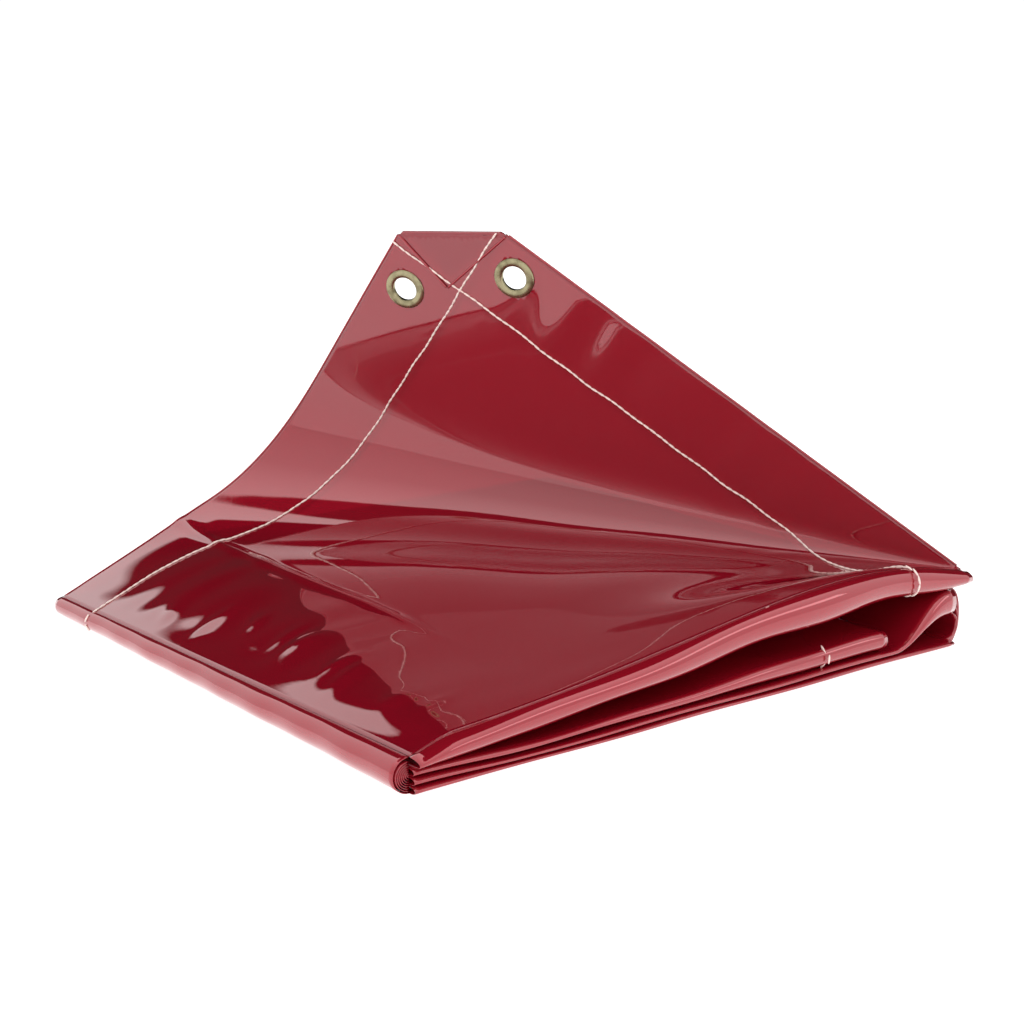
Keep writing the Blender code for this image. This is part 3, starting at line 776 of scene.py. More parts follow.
# ------------------------------------------------------------------ the top layer
@dataclass
class Eyelet:
    """A flanged metal eyelet through the hem."""

    name: str
    s: float
    t: float
    outer: float = 0.0147
    hole: float = 0.0088
    tube: float = 0.0006
    crown: float = 0.0013
    washer: float = 0.0005
    steps: int = 96
    roll_steps: int = 14

    def flange_profile(self, shape: PacketShape) -> list[tuple[float, float]]:
        """Closed outline (radius, height) of the barrel and its rolled flange.

        Args:
            shape: the packet's shape.

        Returns:
            The outline.
        """
        front = 0.5 * shape.film + 0.2 * shape.gap
        back = -(0.5 * shape.film + shape.film + 2 * shape.gap + self.washer + 0.2 * shape.gap)
        middle = 0.5 * (self.outer + self.hole)
        half = 0.5 * (self.outer - self.hole)
        points = []
        for k in range(self.roll_steps + 1):
            angle = math.pi * k / self.roll_steps
            ease = math.sin(angle) ** 0.7
            points.append((middle + half * math.cos(angle), front + self.crown * ease))
        for k in range(1, 7):
            points.append((self.hole, mix(front, back, k / 6)))
        lip = self.hole + 0.0028
        for k in range(1, 6):
            angle = math.pi * k / 5
            radius = mix(self.hole, lip, 0.5 - 0.5 * math.cos(angle))
            points.append((radius, back - 0.0006 * math.sin(angle)))
        points += [(self.hole + self.tube, back), (self.hole + self.tube, front)]
        return points

    def washer_profile(self, shape: PacketShape) -> list[tuple[float, float]]:
        """Closed outline (radius, height) of the washer behind the hem.

        Args:
            shape: the packet's shape.

        Returns:
            The outline.
        """
        high = -(0.5 * shape.film + shape.film + 1.6 * shape.gap)
        low = high - self.washer
        inner = self.hole + self.tube + 0.0002
        rim = 0.4 * self.washer
        return [(inner, high), (inner, low), (self.outer - rim, low), (self.outer, low + rim),
                (self.outer, high - rim), (self.outer - rim, high)]

    def ring(self, name: str, profile: list[tuple[float, float]],
             shape: PacketShape) -> bpy.types.Object:
        """Turns a profile about the eyelet's axis.

        Args:
            name: the object's name.
            profile: its closed outline.
            shape: the packet's shape.

        Returns:
            The new object.
        """
        s, t = np.array(self.s), np.array(self.t)
        centre, normal = shape.surface(s, t), shape.normal(s, t)
        side = unit(np.cross(normal, [0.0, 0.0, 1.0]))
        up = np.cross(normal, side)
        turn = np.linspace(0.0, 2 * math.pi, self.steps, endpoint=False)
        radius = np.array([p[0] for p in profile])[None, :, None]
        height = np.array([p[1] for p in profile])[None, :, None]
        arm = np.cos(turn)[:, None, None] * side + np.sin(turn)[:, None, None] * up
        points = centre + radius * arm + height * normal
        count = len(profile)
        faces = []
        for k in range(self.steps):
            after = (k + 1) % self.steps
            for i in range(count):
                j = (i + 1) % count
                faces.append((k * count + i, k * count + j, after * count + j, after * count + i))
        mesh = bpy.data.meshes.new(name)
        mesh.from_pydata(points.reshape(-1, 3).tolist(), [], faces)
        mesh.validate()
        face_outwards(mesh)
        mesh.shade_smooth()
        mesh.set_sharp_from_angle(angle=math.radians(50))
        made = bpy.data.objects.new(name, mesh)
        bpy.context.scene.collection.objects.link(made)
        return made

    def build(self, shape: PacketShape, finishes: Finishes) -> list[bpy.types.Object]:
        """Builds the flanged barrel and the washer, riding on the corner.

        Args:
            shape: the packet's shape.
            finishes: the curtain's materials.

        Returns:
            The two pieces.
        """
        made = []
        for part, profile in (("barrel", self.flange_profile(shape)),
                              ("washer", self.washer_profile(shape))):
            piece = self.ring(f"{self.name}_{part}_fine", profile, shape)
            finishes.dress(piece, finishes.metal, "eyelet_metal")
            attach(piece, Body.CORNER.value)
            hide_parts(f"{self.name}_{part}")
            made.append(piece)
        return made


def tube_object(name: str, path: np.ndarray, radius: float, sides: int = 8) -> bpy.types.Object:
    """A closed round rod along a path.

    Args:
        name: the object's name.
        path: count by 3 places.
        radius: the rod's radius.
        sides: flat sides round it.

    Returns:
        The new object.
    """
    along = unit(np.gradient(path, axis=0))
    side = unit(np.cross(along, along[0] + np.array([0.3, -0.5, 0.8])))
    up = np.cross(along, side)
    turn = np.linspace(0.0, 2 * math.pi, sides, endpoint=False)[None, :, None]
    rings = path[:, None] + radius * (np.cos(turn) * side[:, None] + np.sin(turn) * up[:, None])
    count = len(path)
    faces = [(k * sides + i, k * sides + (i + 1) % sides, (k + 1) * sides + (i + 1) % sides,
              (k + 1) * sides + i) for k in range(count - 1) for i in range(sides)]
    faces += [tuple(range(sides - 1, -1, -1)), tuple((count - 1) * sides + i for i in range(sides))]
    mesh = bpy.data.meshes.new(name)
    mesh.from_pydata(rings.reshape(-1, 3).tolist(), [], faces)
    face_outwards(mesh)
    mesh.shade_smooth()
    made = bpy.data.objects.new(name, mesh)
    bpy.context.scene.collection.objects.link(made)
    return made


def face_outwards(mesh: bpy.types.Mesh) -> None:
    """Makes a closed mesh's faces point outwards.

    Args:
        mesh: the closed mesh.
    """
    work = bmesh.new()
    work.from_mesh(mesh)
    bmesh.ops.recalc_face_normals(work, faces=work.faces)
    work.to_mesh(mesh)
    work.free()


@dataclass
class TopLayer:
    """The sheet's top layer: the panel over the packet and the corner that stands up."""

    shape: PacketShape
    finishes: Finishes
    eyelets: list[Eyelet]
    cell: float = 0.0028
    roll_radius: float = 0.0008
    fold_reach: float = 0.055

    def kept(self, s: np.ndarray, t: np.ndarray) -> np.ndarray:
        """Flags of the cells that stay: not in the tip, nor where an eyelet passes.

        Args:
            s: flat places along u, on the sheet.
            t: flat places along v, on the sheet.

        Returns:
            True where a cell stays.
        """
        mid_s = 0.25 * (s[:-1, :-1] + s[1:, :-1] + s[:-1, 1:] + s[1:, 1:])
        mid_t = 0.25 * (t[:-1, :-1] + t[1:, :-1] + t[:-1, 1:] + t[1:, 1:])
        keep = ~self.shape.in_tip(mid_s, mid_t)
        for eyelet in self.eyelets:
            near = np.hypot(mid_s - eyelet.s, mid_t - eyelet.t)
            keep &= near > 0.5 * (eyelet.hole + eyelet.outer)
        return keep

    @staticmethod
    def cell_areas(s: np.ndarray, t: np.ndarray) -> np.ndarray:
        """Flat areas of a grid's cells.

        Args:
            s: flat places along u, on the sheet.
            t: flat places along v, on the sheet.

        Returns:
            The areas.
        """
        across = (s[1:, 1:] - s[:-1, :-1]) * (t[:-1, 1:] - t[1:, :-1])
        back = (t[1:, 1:] - t[:-1, :-1]) * (s[:-1, 1:] - s[1:, :-1])
        return 0.5 * np.abs(across - back)

    def grid(self, s_values: np.ndarray, t_values: np.ndarray) -> tuple[np.ndarray, np.ndarray]:
        """Flat places of a grid, with its edge along the tip's fold drawn onto the fold.

        Args:
            s_values: rows along u.
            t_values: columns along v.

        Returns:
            The places s and t.
        """
        s, t = np.meshgrid(s_values, t_values, indexing="ij")
        x, y = self.shape.length_u - s, self.shape.length_v - t
        share = x / self.shape.tip_left + y / self.shape.tip_right
        near = np.abs(share - 1.0) < self.fold_reach
        pull = np.where(near, 1.0 / np.maximum(share, 1e-6), 1.0)
        return self.shape.length_u - x * pull, self.shape.length_v - y * pull

    def build_film(self) -> bpy.types.Object:
        """The film itself, from the left wrap to the corner that stands up.

        Returns:
            The film.
        """
        b, a = self.shape.length_u, self.shape.length_v
        s, t = self.grid(np.linspace(0.0, b, int(b / self.cell)), np.linspace(0.0, a, int(a / self.cell)))
        keep = self.kept(s, t)
        film = grid_object("top_film", self.shape.surface(s, t), keep)
        thicken(film, self.shape.film)
        self.finishes.dress(film, self.finishes.clear, "vinyl")
        blend_to_corner(film, self.shape)
        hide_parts("top_panel", "corner_flap")
        return film

    def build_hem(self, edge: Edge) -> bpy.types.Object:
        """The turned-in layer behind one hemmed edge.

        Args:
            edge: which hem.

        Returns:
            The hem.
        """
        shape = self.shape
        b, a, width = shape.length_u, shape.length_v, shape.hem_width + 0.005
        if edge is Edge.LEFT:
            s_values = np.linspace(0.004, b - 0.002, int(b / self.cell))
            t_values = np.linspace(a - width, a - 0.0006, int(width / self.cell))
        else:
            s_values = np.linspace(b - width, b - 0.0006, int(width / self.cell))
            t_values = np.linspace(0.03, a - width - 0.001, int(a / self.cell))
        s, t = self.grid(s_values, t_values)
        depth = shape.film + shape.gap
        inner = (a - t) if edge is Edge.LEFT else (b - s)
        curl = 0.0006 * smooth((inner - width + 0.008) / 0.008)
        hem = grid_object(f"hem_{edge.value}", shape.surface(s, t, depth + curl), self.kept(s, t))
        thicken(hem, shape.film)
        self.finishes.dress(hem, self.finishes.behind, "vinyl")
        blend_to_corner(hem, shape)
        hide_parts(f"corner_hem_{edge.value}")
        return hem

    def build_roll(self, edge: Edge) -> bpy.types.Object:
        """The rounded fold where the film turns back into its hem.

        Args:
            edge: which hem.

        Returns:
            The roll.
        """
        shape, depth = self.shape, 0.5 * (self.shape.film + self.shape.gap)
        if edge is Edge.LEFT:
            s = np.linspace(0.002, shape.length_u - shape.tip_left - 0.001, 200)
            t = np.full_like(s, shape.length_v)
        else:
            t = np.linspace(0.004, shape.length_v - shape.tip_right - 0.001, 200)
            s = np.full_like(t, shape.length_u)
        roll = tube_object(f"hem_roll_{edge.value}", shape.surface(s, t, depth), self.roll_radius)
        self.finishes.dress(roll, self.finishes.packed, "vinyl")
        blend_to_corner(roll, shape)
        return roll

    def build(self) -> None:
        """Builds the film, its hems and its eyelets."""
        shape = self.shape
        self.build_film()
        hems = [self.build_hem(edge) for edge in Edge]
        for edge in Edge:
            self.build_roll(edge)
        for eyelet in self.eyelets:
            eyelet.build(shape, self.finishes)
        LOG.info("top layer: film, %d hems, %d eyelets", len(hems), len(self.eyelets))


@dataclass
class FoldedTip:
    """The corner's tip, folded back behind the sheet."""

    shape: PacketShape
    finishes: Finishes
    turn: float = math.radians(172.0)
    axis_depth: float = 0.0016
    rows: int = 40
    columns: int = 36
    roll_radius: float = 0.0010
    ridge_radius: float = 0.0009
    ridge_rise: float = 0.0007
    back_depth: float = 0.0007

    def frame(self) -> tuple[np.ndarray, ...]:
        """Middle, direction, way out and normal of the fold.

        Returns:
            The four, in world places and unit vectors.
        """
        shape = self.shape
        left = shape.bent(shape.length_u - shape.tip_left, shape.length_v)
        right = shape.bent(shape.length_u, shape.length_v - shape.tip_right)
        along = unit(right - left)
        normal = shape.normal(np.array(shape.length_u - 0.5 * shape.tip_left),
                              np.array(shape.length_v - 0.5 * shape.tip_right))
        return 0.5 * (left + right), along, unit(np.cross(normal, along)), normal

    def layer(self, name: str, depth: float) -> bpy.types.Object:
        """One film layer of the tip, rolled over the fold and lying back.

        Args:
            name: the object's name.
            depth: how far the layer lies behind the front film's middle.

        Returns:
            The new object.
        """
        middle, along, outwards, normal = self.frame()
        width = math.hypot(self.shape.tip_left, self.shape.tip_right)
        height = self.shape.tip_left * self.shape.tip_right / width
        foot = self.shape.tip_left ** 2 / width - 0.5 * width
        radius = self.axis_depth - depth
        arc = abs(radius) * self.turn
        rows = np.linspace(0.0, 1.0, self.rows) ** 1.5 * (height - 0.0006)
        share = rows / height
        left_end = mix(-0.5 * width, foot, share)
        right_end = mix(0.5 * width, foot, share)
        x = mix(left_end[:, None], right_end[:, None], np.linspace(0.02, 0.98, self.columns)[None, :])
        angle = np.clip(rows / max(arc, 1e-6), 0.0, 1.0) * self.turn
        beyond = np.maximum(rows - arc, 0.0)
        out = radius * np.sin(angle) + beyond * math.cos(self.turn) * (rows > arc)
        back = radius * (1 - np.cos(angle)) + beyond * math.sin(self.turn) * (rows > arc)
        points = (middle + x[..., None] * along + out[:, None, None] * outwards
                  - (depth + back)[:, None, None] * normal)
        made = grid_object(name, points)
        thicken(made, self.shape.film)
        return made

    def build_rolls(self) -> None:
        """The tip's two rounded edges, and the ridges that they press into the film in front."""
        middle, along, outwards, normal = self.frame()
        width = math.hypot(self.shape.tip_left, self.shape.tip_right)
        height = self.shape.tip_left * self.shape.tip_right / width
        foot = self.shape.tip_left ** 2 / width - 0.5 * width
        back = -math.cos(self.turn)
        for name, end in (("left", -0.5 * width), ("right", 0.5 * width)):
            share = np.linspace(0.03, 0.985, 60)
            down = share * height
            x = mix(end, foot, share)
            behind = 2 * self.axis_depth - 0.0004 - (down - 0.004) * math.sin(self.turn) * 0.5
            lying = middle + x[:, None] * along - (down * back)[:, None] * outwards
            path = lying - np.maximum(behind, self.axis_depth)[:, None] * normal
            roll = tube_object(f"tip_roll_{name}", path, self.roll_radius)
            self.finishes.dress(roll, self.finishes.packed, "vinyl")
            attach(roll, Body.TIP.value)
            ridge = tube_object(f"tip_ridge_{name}", lying + self.ridge_rise * normal,
                                self.ridge_radius)
            self.finishes.dress(ridge, self.finishes.packed, "vinyl")
            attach(ridge, Body.CORNER.value)

    def build(self) -> None:
        """Builds the two film layers of the tip."""
        middle, _, outwards, _ = self.frame()
        for name, depth in (("tip_front_film", 0.0), ("tip_back_film", self.back_depth)):
            piece = self.layer(name, depth)
            self.finishes.dress(piece, self.finishes.clear if depth == 0.0
                                else self.finishes.behind, "vinyl")
            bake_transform(piece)
            if depth == 0.0:
                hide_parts("corner_tip")
        self.build_rolls()
        LOG.info("folded tip")


# ------------------------------------------------------------------ stitches
def stitch_tree() -> bpy.types.GeometryNodeTree:
    """Geometry Nodes that lay stitches along a line of points.

    Returns:
        The tree, with inputs Pitch, Stitch Length, Thickness, Sway and Material.
    """
    tree = bpy.data.node_groups.new("lockstitch_row", "GeometryNodeTree")
    face = tree.interface
    face.new_socket(name="Geometry", in_out="INPUT", socket_type="NodeSocketGeometry")
    for label, value in (("Pitch", 0.0055), ("Stitch Length", 0.005), ("Thickness", 0.0011),
                         ("Sway", 0.06)):
        face.new_socket(name=label, in_out="INPUT", socket_type="NodeSocketFloat").default_value = value
    face.new_socket(name="Material", in_out="INPUT", socket_type="NodeSocketMaterial")
    face.new_socket(name="Geometry", in_out="OUTPUT", socket_type="NodeSocketGeometry")
    nodes, links = tree.nodes, tree.links
    given, result = nodes.new("NodeGroupInput"), nodes.new("NodeGroupOutput")

    line = nodes.new("GeometryNodeMeshToCurve")
    links.new(given.outputs["Geometry"], line.inputs["Mesh"])
    spread = nodes.new("GeometryNodeResampleCurve")
    spread.mode = "LENGTH"
    links.new(line.outputs["Curve"], spread.inputs["Curve"])
    links.new(given.outputs["Pitch"], spread.inputs["Length"])

    thread = nodes.new("GeometryNodeMeshUVSphere")
    thread.inputs["Segments"].default_value = 8
    thread.inputs["Rings"].default_value = 7
    thread.inputs["Radius"].default_value = 0.5
    size = nodes.new("ShaderNodeCombineXYZ")
    links.new(given.outputs["Thickness"], size.inputs["X"])
    links.new(given.outputs["Thickness"], size.inputs["Y"])
    links.new(given.outputs["Stitch Length"], size.inputs["Z"])

    tangent = nodes.new("GeometryNodeInputTangent")
    sway = nodes.new("FunctionNodeRandomValue")
    sway.data_type = "FLOAT_VECTOR"
    sway.inputs["Seed"].default_value = 7
    low = nodes.new("ShaderNodeMath")
    low.operation = "MULTIPLY"
    low.inputs[1].default_value = -1.0
    links.new(given.outputs["Sway"], low.inputs[0])
    links.new(low.outputs[0], sway.inputs["Min"])
    links.new(given.outputs["Sway"], sway.inputs["Max"])
    aim = nodes.new("ShaderNodeVectorMath")
    aim.operation = "ADD"
    links.new(tangent.outputs["Tangent"], aim.inputs[0])
    links.new(sway.outputs["Value"], aim.inputs[1])
    turn = nodes.new("FunctionNodeAlignRotationToVector")
    turn.axis = "Z"
    links.new(aim.outputs["Vector"], turn.inputs["Vector"])

    lay = nodes.new("GeometryNodeInstanceOnPoints")
    links.new(spread.outputs["Curve"], lay.inputs["Points"])
    links.new(thread.outputs["Mesh"], lay.inputs["Instance"])
    links.new(turn.outputs["Rotation"], lay.inputs["Rotation"])
    links.new(size.outputs["Vector"], lay.inputs["Scale"])
    real = nodes.new("GeometryNodeRealizeInstances")
    links.new(lay.outputs["Instances"], real.inputs["Geometry"])
    round_off = nodes.new("GeometryNodeSetShadeSmooth")
    links.new(real.outputs["Geometry"], round_off.inputs["Geometry"])
    paint = nodes.new("GeometryNodeSetMaterial")
    links.new(round_off.outputs["Geometry"], paint.inputs["Geometry"])
    links.new(given.outputs["Material"], paint.inputs["Material"])
    links.new(paint.outputs["Geometry"], result.inputs["Geometry"])
    return tree


@dataclass
class StitchRow:
    """One row of lockstitches along a line of places."""

    name: str
    places: np.ndarray
    replaces: tuple[str, ...]
    pitch: float = 0.0056
    length: float = 0.0064
    thickness: float = 0.0015

    def build(self, tree: bpy.types.GeometryNodeTree, finishes: Finishes) -> bpy.types.Object:
        """Builds the row as one plain mesh.

        Args:
            tree: the stitch node tree.
            finishes: the curtain's materials.

        Returns:
            The new piece, not riding on anything yet.
        """
        mesh = bpy.data.meshes.new(self.name)
        count = len(self.places)
        mesh.from_pydata(self.places.tolist(), [(k, k + 1) for k in range(count - 1)], [])
        row = bpy.data.objects.new(self.name, mesh)
        bpy.context.scene.collection.objects.link(row)
        modifier = row.modifiers.new("stitches", "NODES")
        modifier.node_group = tree
        values = {"Pitch": self.pitch, "Stitch Length": self.length, "Thickness": self.thickness,
                  "Material": finishes.built[finishes.thread.name]}
        for item in tree.interface.items_tree:
            if item.item_type == "SOCKET" and item.in_out == "INPUT" and item.name in values:
                modifier[item.identifier] = values[item.name]
        apply_modifiers(row)
        finishes.dress(row, finishes.thread, "thread")
        if self.replaces:
            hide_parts(*self.replaces)
        return row


@dataclass
class Seams:
    """The rows of stitches that hold the hems."""

    shape: PacketShape
    finishes: Finishes
    lift: float = 0.0007
    last_run_end: float = 0.375
    top_bulge: float = 0.009
    inner_bulge: float = 0.005
    wrap_clearance: float = 0.0006

    def line(self, s: np.ndarray, t: np.ndarray) -> np.ndarray:
        """Places just in front of the film along a flat line, a little uneven as sewn.

        Args:
            s: flat places along u, on the sheet.
            t: flat places along v, on the sheet.

        Returns:
            World places.
        """
        run = np.concatenate([[0.0], np.cumsum(np.hypot(np.diff(s), np.diff(t)))])
        wander = 0.0005 * np.sin(run / 0.021) + 0.0003 * np.sin(run / 0.0063 + 1.0)
        across = np.array([-(t[-1] - t[0]), s[-1] - s[0]])
        across = across / np.linalg.norm(across)
        return self.shape.surface(s + wander * across[0], t + wander * across[1], -self.lift)

    def build(self) -> None:
        """Builds the top layer's two rows, and the rows round the top run, the inner run and the left
        wrap.
        """
        shape, tree = self.shape, stitch_tree()
        b, a, width = shape.length_u, shape.length_v, shape.hem_width
        s = np.linspace(0.001, b - 0.0065, 260)
        left = StitchRow("stitches_left", self.line(s, np.full_like(s, a - width)),
                         ("seam_left_packet", "seam_left_corner"))
        t = np.linspace(0.001, a - 0.002, 260)
        right = StitchRow("stitches_right", self.line(np.full_like(t, b - width), t),
                          ("seam_right_packet", "seam_right_corner"))
        for row in (left, right):
            piece = row.build(tree, self.finishes)
            blend_to_corner(piece, shape)
        self.build_wraps(tree)
        LOG.info("stitch rows")

    def build_wraps(self, tree: bpy.types.GeometryNodeTree) -> None:
        """Where the rows run on round the folds at the front and the left.

        Args:
            tree: the stitch node tree.
        """
        shape = self.shape
        b, a, width = shape.length_u, shape.length_v, shape.hem_width
        angle = math.pi * np.linspace(0.0, 1.0, 60)
        u = b - width
        low, high = shape.level(4, u, 0.0), shape.top_front_height(u)
        out = -self.top_bulge * np.sin(angle) - self.lift - self.wrap_clearance
        first = shape.place(u, out, mix(high + 0.0008, low, 0.5 - 0.5 * np.cos(angle)))
        u = self.last_run_end - width
        low, high = shape.level(5, u, 0.0), shape.level(8, u, 0.0)
        out = -self.inner_bulge * np.sin(angle) - self.lift - self.wrap_clearance
        second = shape.place(u, out, mix(low, high, 0.5 - 0.5 * np.cos(angle)))
        v = a - width
        high, low = shape.wrap_height(v), shape.level(LAYERS, 0.0, v)
        reach = 0.5 * (high - low)
        third = shape.place(-reach * np.sin(angle) - self.lift, v,
                            mix(high, low, 0.5 - 0.5 * np.cos(angle)))
        for name, places in (("top_run", first), ("inner_run", second), ("left_wrap", third)):
            piece = StitchRow(f"stitches_{name}", places, ()).build(tree, self.finishes)
            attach(piece, Body.PACKET.value)


# ------------------------------------------------------------------ folded runs and turns
@dataclass
class FoldedRun:
    """One run of the sheet, its four strips folded back and forth."""

    number: int
    node: str
    shape: PacketShape
    finishes: Finishes
    u_from: float
    u_to: float
    first_strip: bool = True
    bulge: float = 0.005
    inner_inset: float = 0.014
    stations: int = 84
    strip_steps: int = 30
    loop_steps: int = 12

    def strip(self, u: np.ndarray, layer: int, v_from: float, v_to: float) -> np.ndarray:
        """One strip's places: stations by steps."""
        v = np.linspace(v_from, v_to, self.strip_steps)[None, :]
        return self.shape.place(u, v, self.shape.level(layer, u, v))

    def loop(self, u: np.ndarray, start: np.ndarray, end: np.ndarray, edge: float,
             side: float, bulge: np.ndarray | float) -> np.ndarray:
        """A half turn from one height to another at an edge, standing out to one side.

        Args:
            u: places along the packet.
            start: height where the turn begins.
            end: height where it ends.
            edge: place of the edge, from front to back.
            side: 1 to stand out backwards, -1 forwards.
            bulge: how far it stands out.

        Returns:
            World places: stations by steps.
        """
        angle = (math.pi * np.arange(1, self.loop_steps) / self.loop_steps)[None, :]
        z = mix(start, end, 0.5 - 0.5 * np.cos(angle))
        return self.shape.place(u, edge + side * bulge * np.sin(angle), z)

    def points(self) -> np.ndarray:
        """The whole run: stations by path.

        Returns:
            World places.
        """
        shape, back = self.shape, self.shape.length_v
        u = np.linspace(self.u_from, self.u_to, self.stations)[:, None]
        first, second, third, fourth = RUN_LEVELS[self.number]
        parts = []
        if self.first_strip:
            parts.append(self.strip(u, first, back, 0.0))
            start = shape.level(first, u, 0.0)
        else:
            start = shape.top_front_height(u)
            parts.append(shape.place(u, 0.0, start))
        swell = self.bulge * (1.0 + 0.16 * np.sin(u / 0.024 + self.number))
        parts.append(self.loop(u, start, shape.level(second, u, 0.0), 0.0, -1.0, swell))
        parts.append(self.strip(u, second, 0.0, back))
        near, far = shape.level(second, u, back), shape.level(third, u, back)
        parts.append(self.loop(u, near, far, back, 1.0, 0.5 * np.abs(near - far)))
        parts.append(self.strip(u, third, back, self.inner_inset))
        near = shape.level(third, u, self.inner_inset)
        far = shape.level(fourth, u, self.inner_inset)
        parts.append(self.loop(u, near, far, self.inner_inset, -1.0, 0.5 * np.abs(near - far)))
        parts.append(self.strip(u, fourth, self.inner_inset, back))
        return np.concatenate(parts, axis=1)

    def build(self) -> bpy.types.Object:
        """Builds the run, riding on the packet.

        Returns:
            The run.
        """
        shape = self.shape
        piece = grid_object(f"run_film_{self.number}", self.points())
        thicken(piece, shape.film)
        self.finishes.dress(piece, self.finishes.packed, "vinyl")
        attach(piece, Body.PACKET.value)
        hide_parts(self.node)
        LOG.info("run %d", self.number)
        return piece


@dataclass
class EdgeTurn:
    """One strip's turn from one layer to another at the packet's left or right side."""

    node: str
    upper: int
    lower: int
    u: float
    side: float
    deepest: float
    shape: PacketShape
    finishes: Finishes
    rows: int = 120
    steps: int = 18

    def points(self) -> np.ndarray:
        """Places: along v by along the turn.

        Returns:
            World places.
        """
        shape = self.shape
        v = np.linspace(0.0, shape.length_v, self.rows)[:, None]
        high = shape.wrap_height(v) if self.upper == 1 else shape.level(self.upper, self.u, v)
        low = shape.level(self.lower, self.u, v)
        reach = np.minimum(0.5 * np.abs(high - low), self.deepest)
        wave = 1.0 + 0.05 * np.sin(v / 0.021) + 0.03 * np.sin(v / 0.0078 + 1.0)
        angle = (math.pi * np.linspace(0.0, 1.0, self.steps))[None, :]
        z = mix(high, low, 0.5 - 0.5 * np.cos(angle))
        return shape.place(self.u + self.side * reach * wave * np.sin(angle), v, z)

    def build(self) -> bpy.types.Object:
        """Builds the turn, riding on the packet.

        Returns:
            The turn.
        """
        points = self.points()
        piece = grid_object(f"{self.node}_film", points)
        thicken(piece, self.shape.film)
        self.finishes.dress(piece, self.finishes.packed, "vinyl")
        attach(piece, Body.PACKET.value)
        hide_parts(self.node)
        return piece


@dataclass
class Packet:
    """All folded layers under the top one."""

    shape: PacketShape
    finishes: Finishes
    nose_depth: float = 0.0105
    last_run_end: float = 0.375

    def build(self) -> None:
        """Builds the runs, the left wraps and the right noses."""
        shape, gap = self.shape, self.shape.gap
        run_end = shape.length_u - self.nose_depth
        start = 0.3 * gap
        runs = [
            FoldedRun(1, "run_1_under_top", shape, self.finishes, start, shape.length_u - gap,
                      first_strip=False, bulge=0.009),
            FoldedRun(2, "run_2_bottom", shape, self.finishes, start, run_end),
            FoldedRun(3, "run_3_middle", shape, self.finishes, start, run_end),
            FoldedRun(4, "run_4_inner", shape, self.finishes, start, self.last_run_end),
        ]
        for run in runs:
            run.build()
        for upper in range(1, LAYERS // 2 + 1):
            node = f"left_wrap_{upper}" if upper <= 4 else f"left_inner_turn_{upper - 4}"
            EdgeTurn(node, upper, LAYERS + 1 - upper, 0.0, -1.0, 1.0, shape,
                     self.finishes).build()
        for step in range(4):
            EdgeTurn(f"right_nose_{step + 1}", 9 + step, 16 - step, run_end + gap, 1.0,
                     self.nose_depth - gap, shape, self.finishes).build()
        LOG.info("packet turns")


def dress_hidden_eyelets(nodes: dict[str, bpy.types.Object], finishes: Finishes,
                         shown: tuple[str, ...]) -> None:
    """Gives the eyelets inside the packet their metal.

    Args:
        nodes: the CAD objects by name.
        finishes: the curtain's materials.
        shown: names of the eyelets that finer pieces stand for.
    """
    for name, node in nodes.items():
        if name.startswith("eyelet_") and not name.startswith(shown):
            node.data.materials.clear()
            node.data.materials.append(finishes.built[finishes.metal.name])


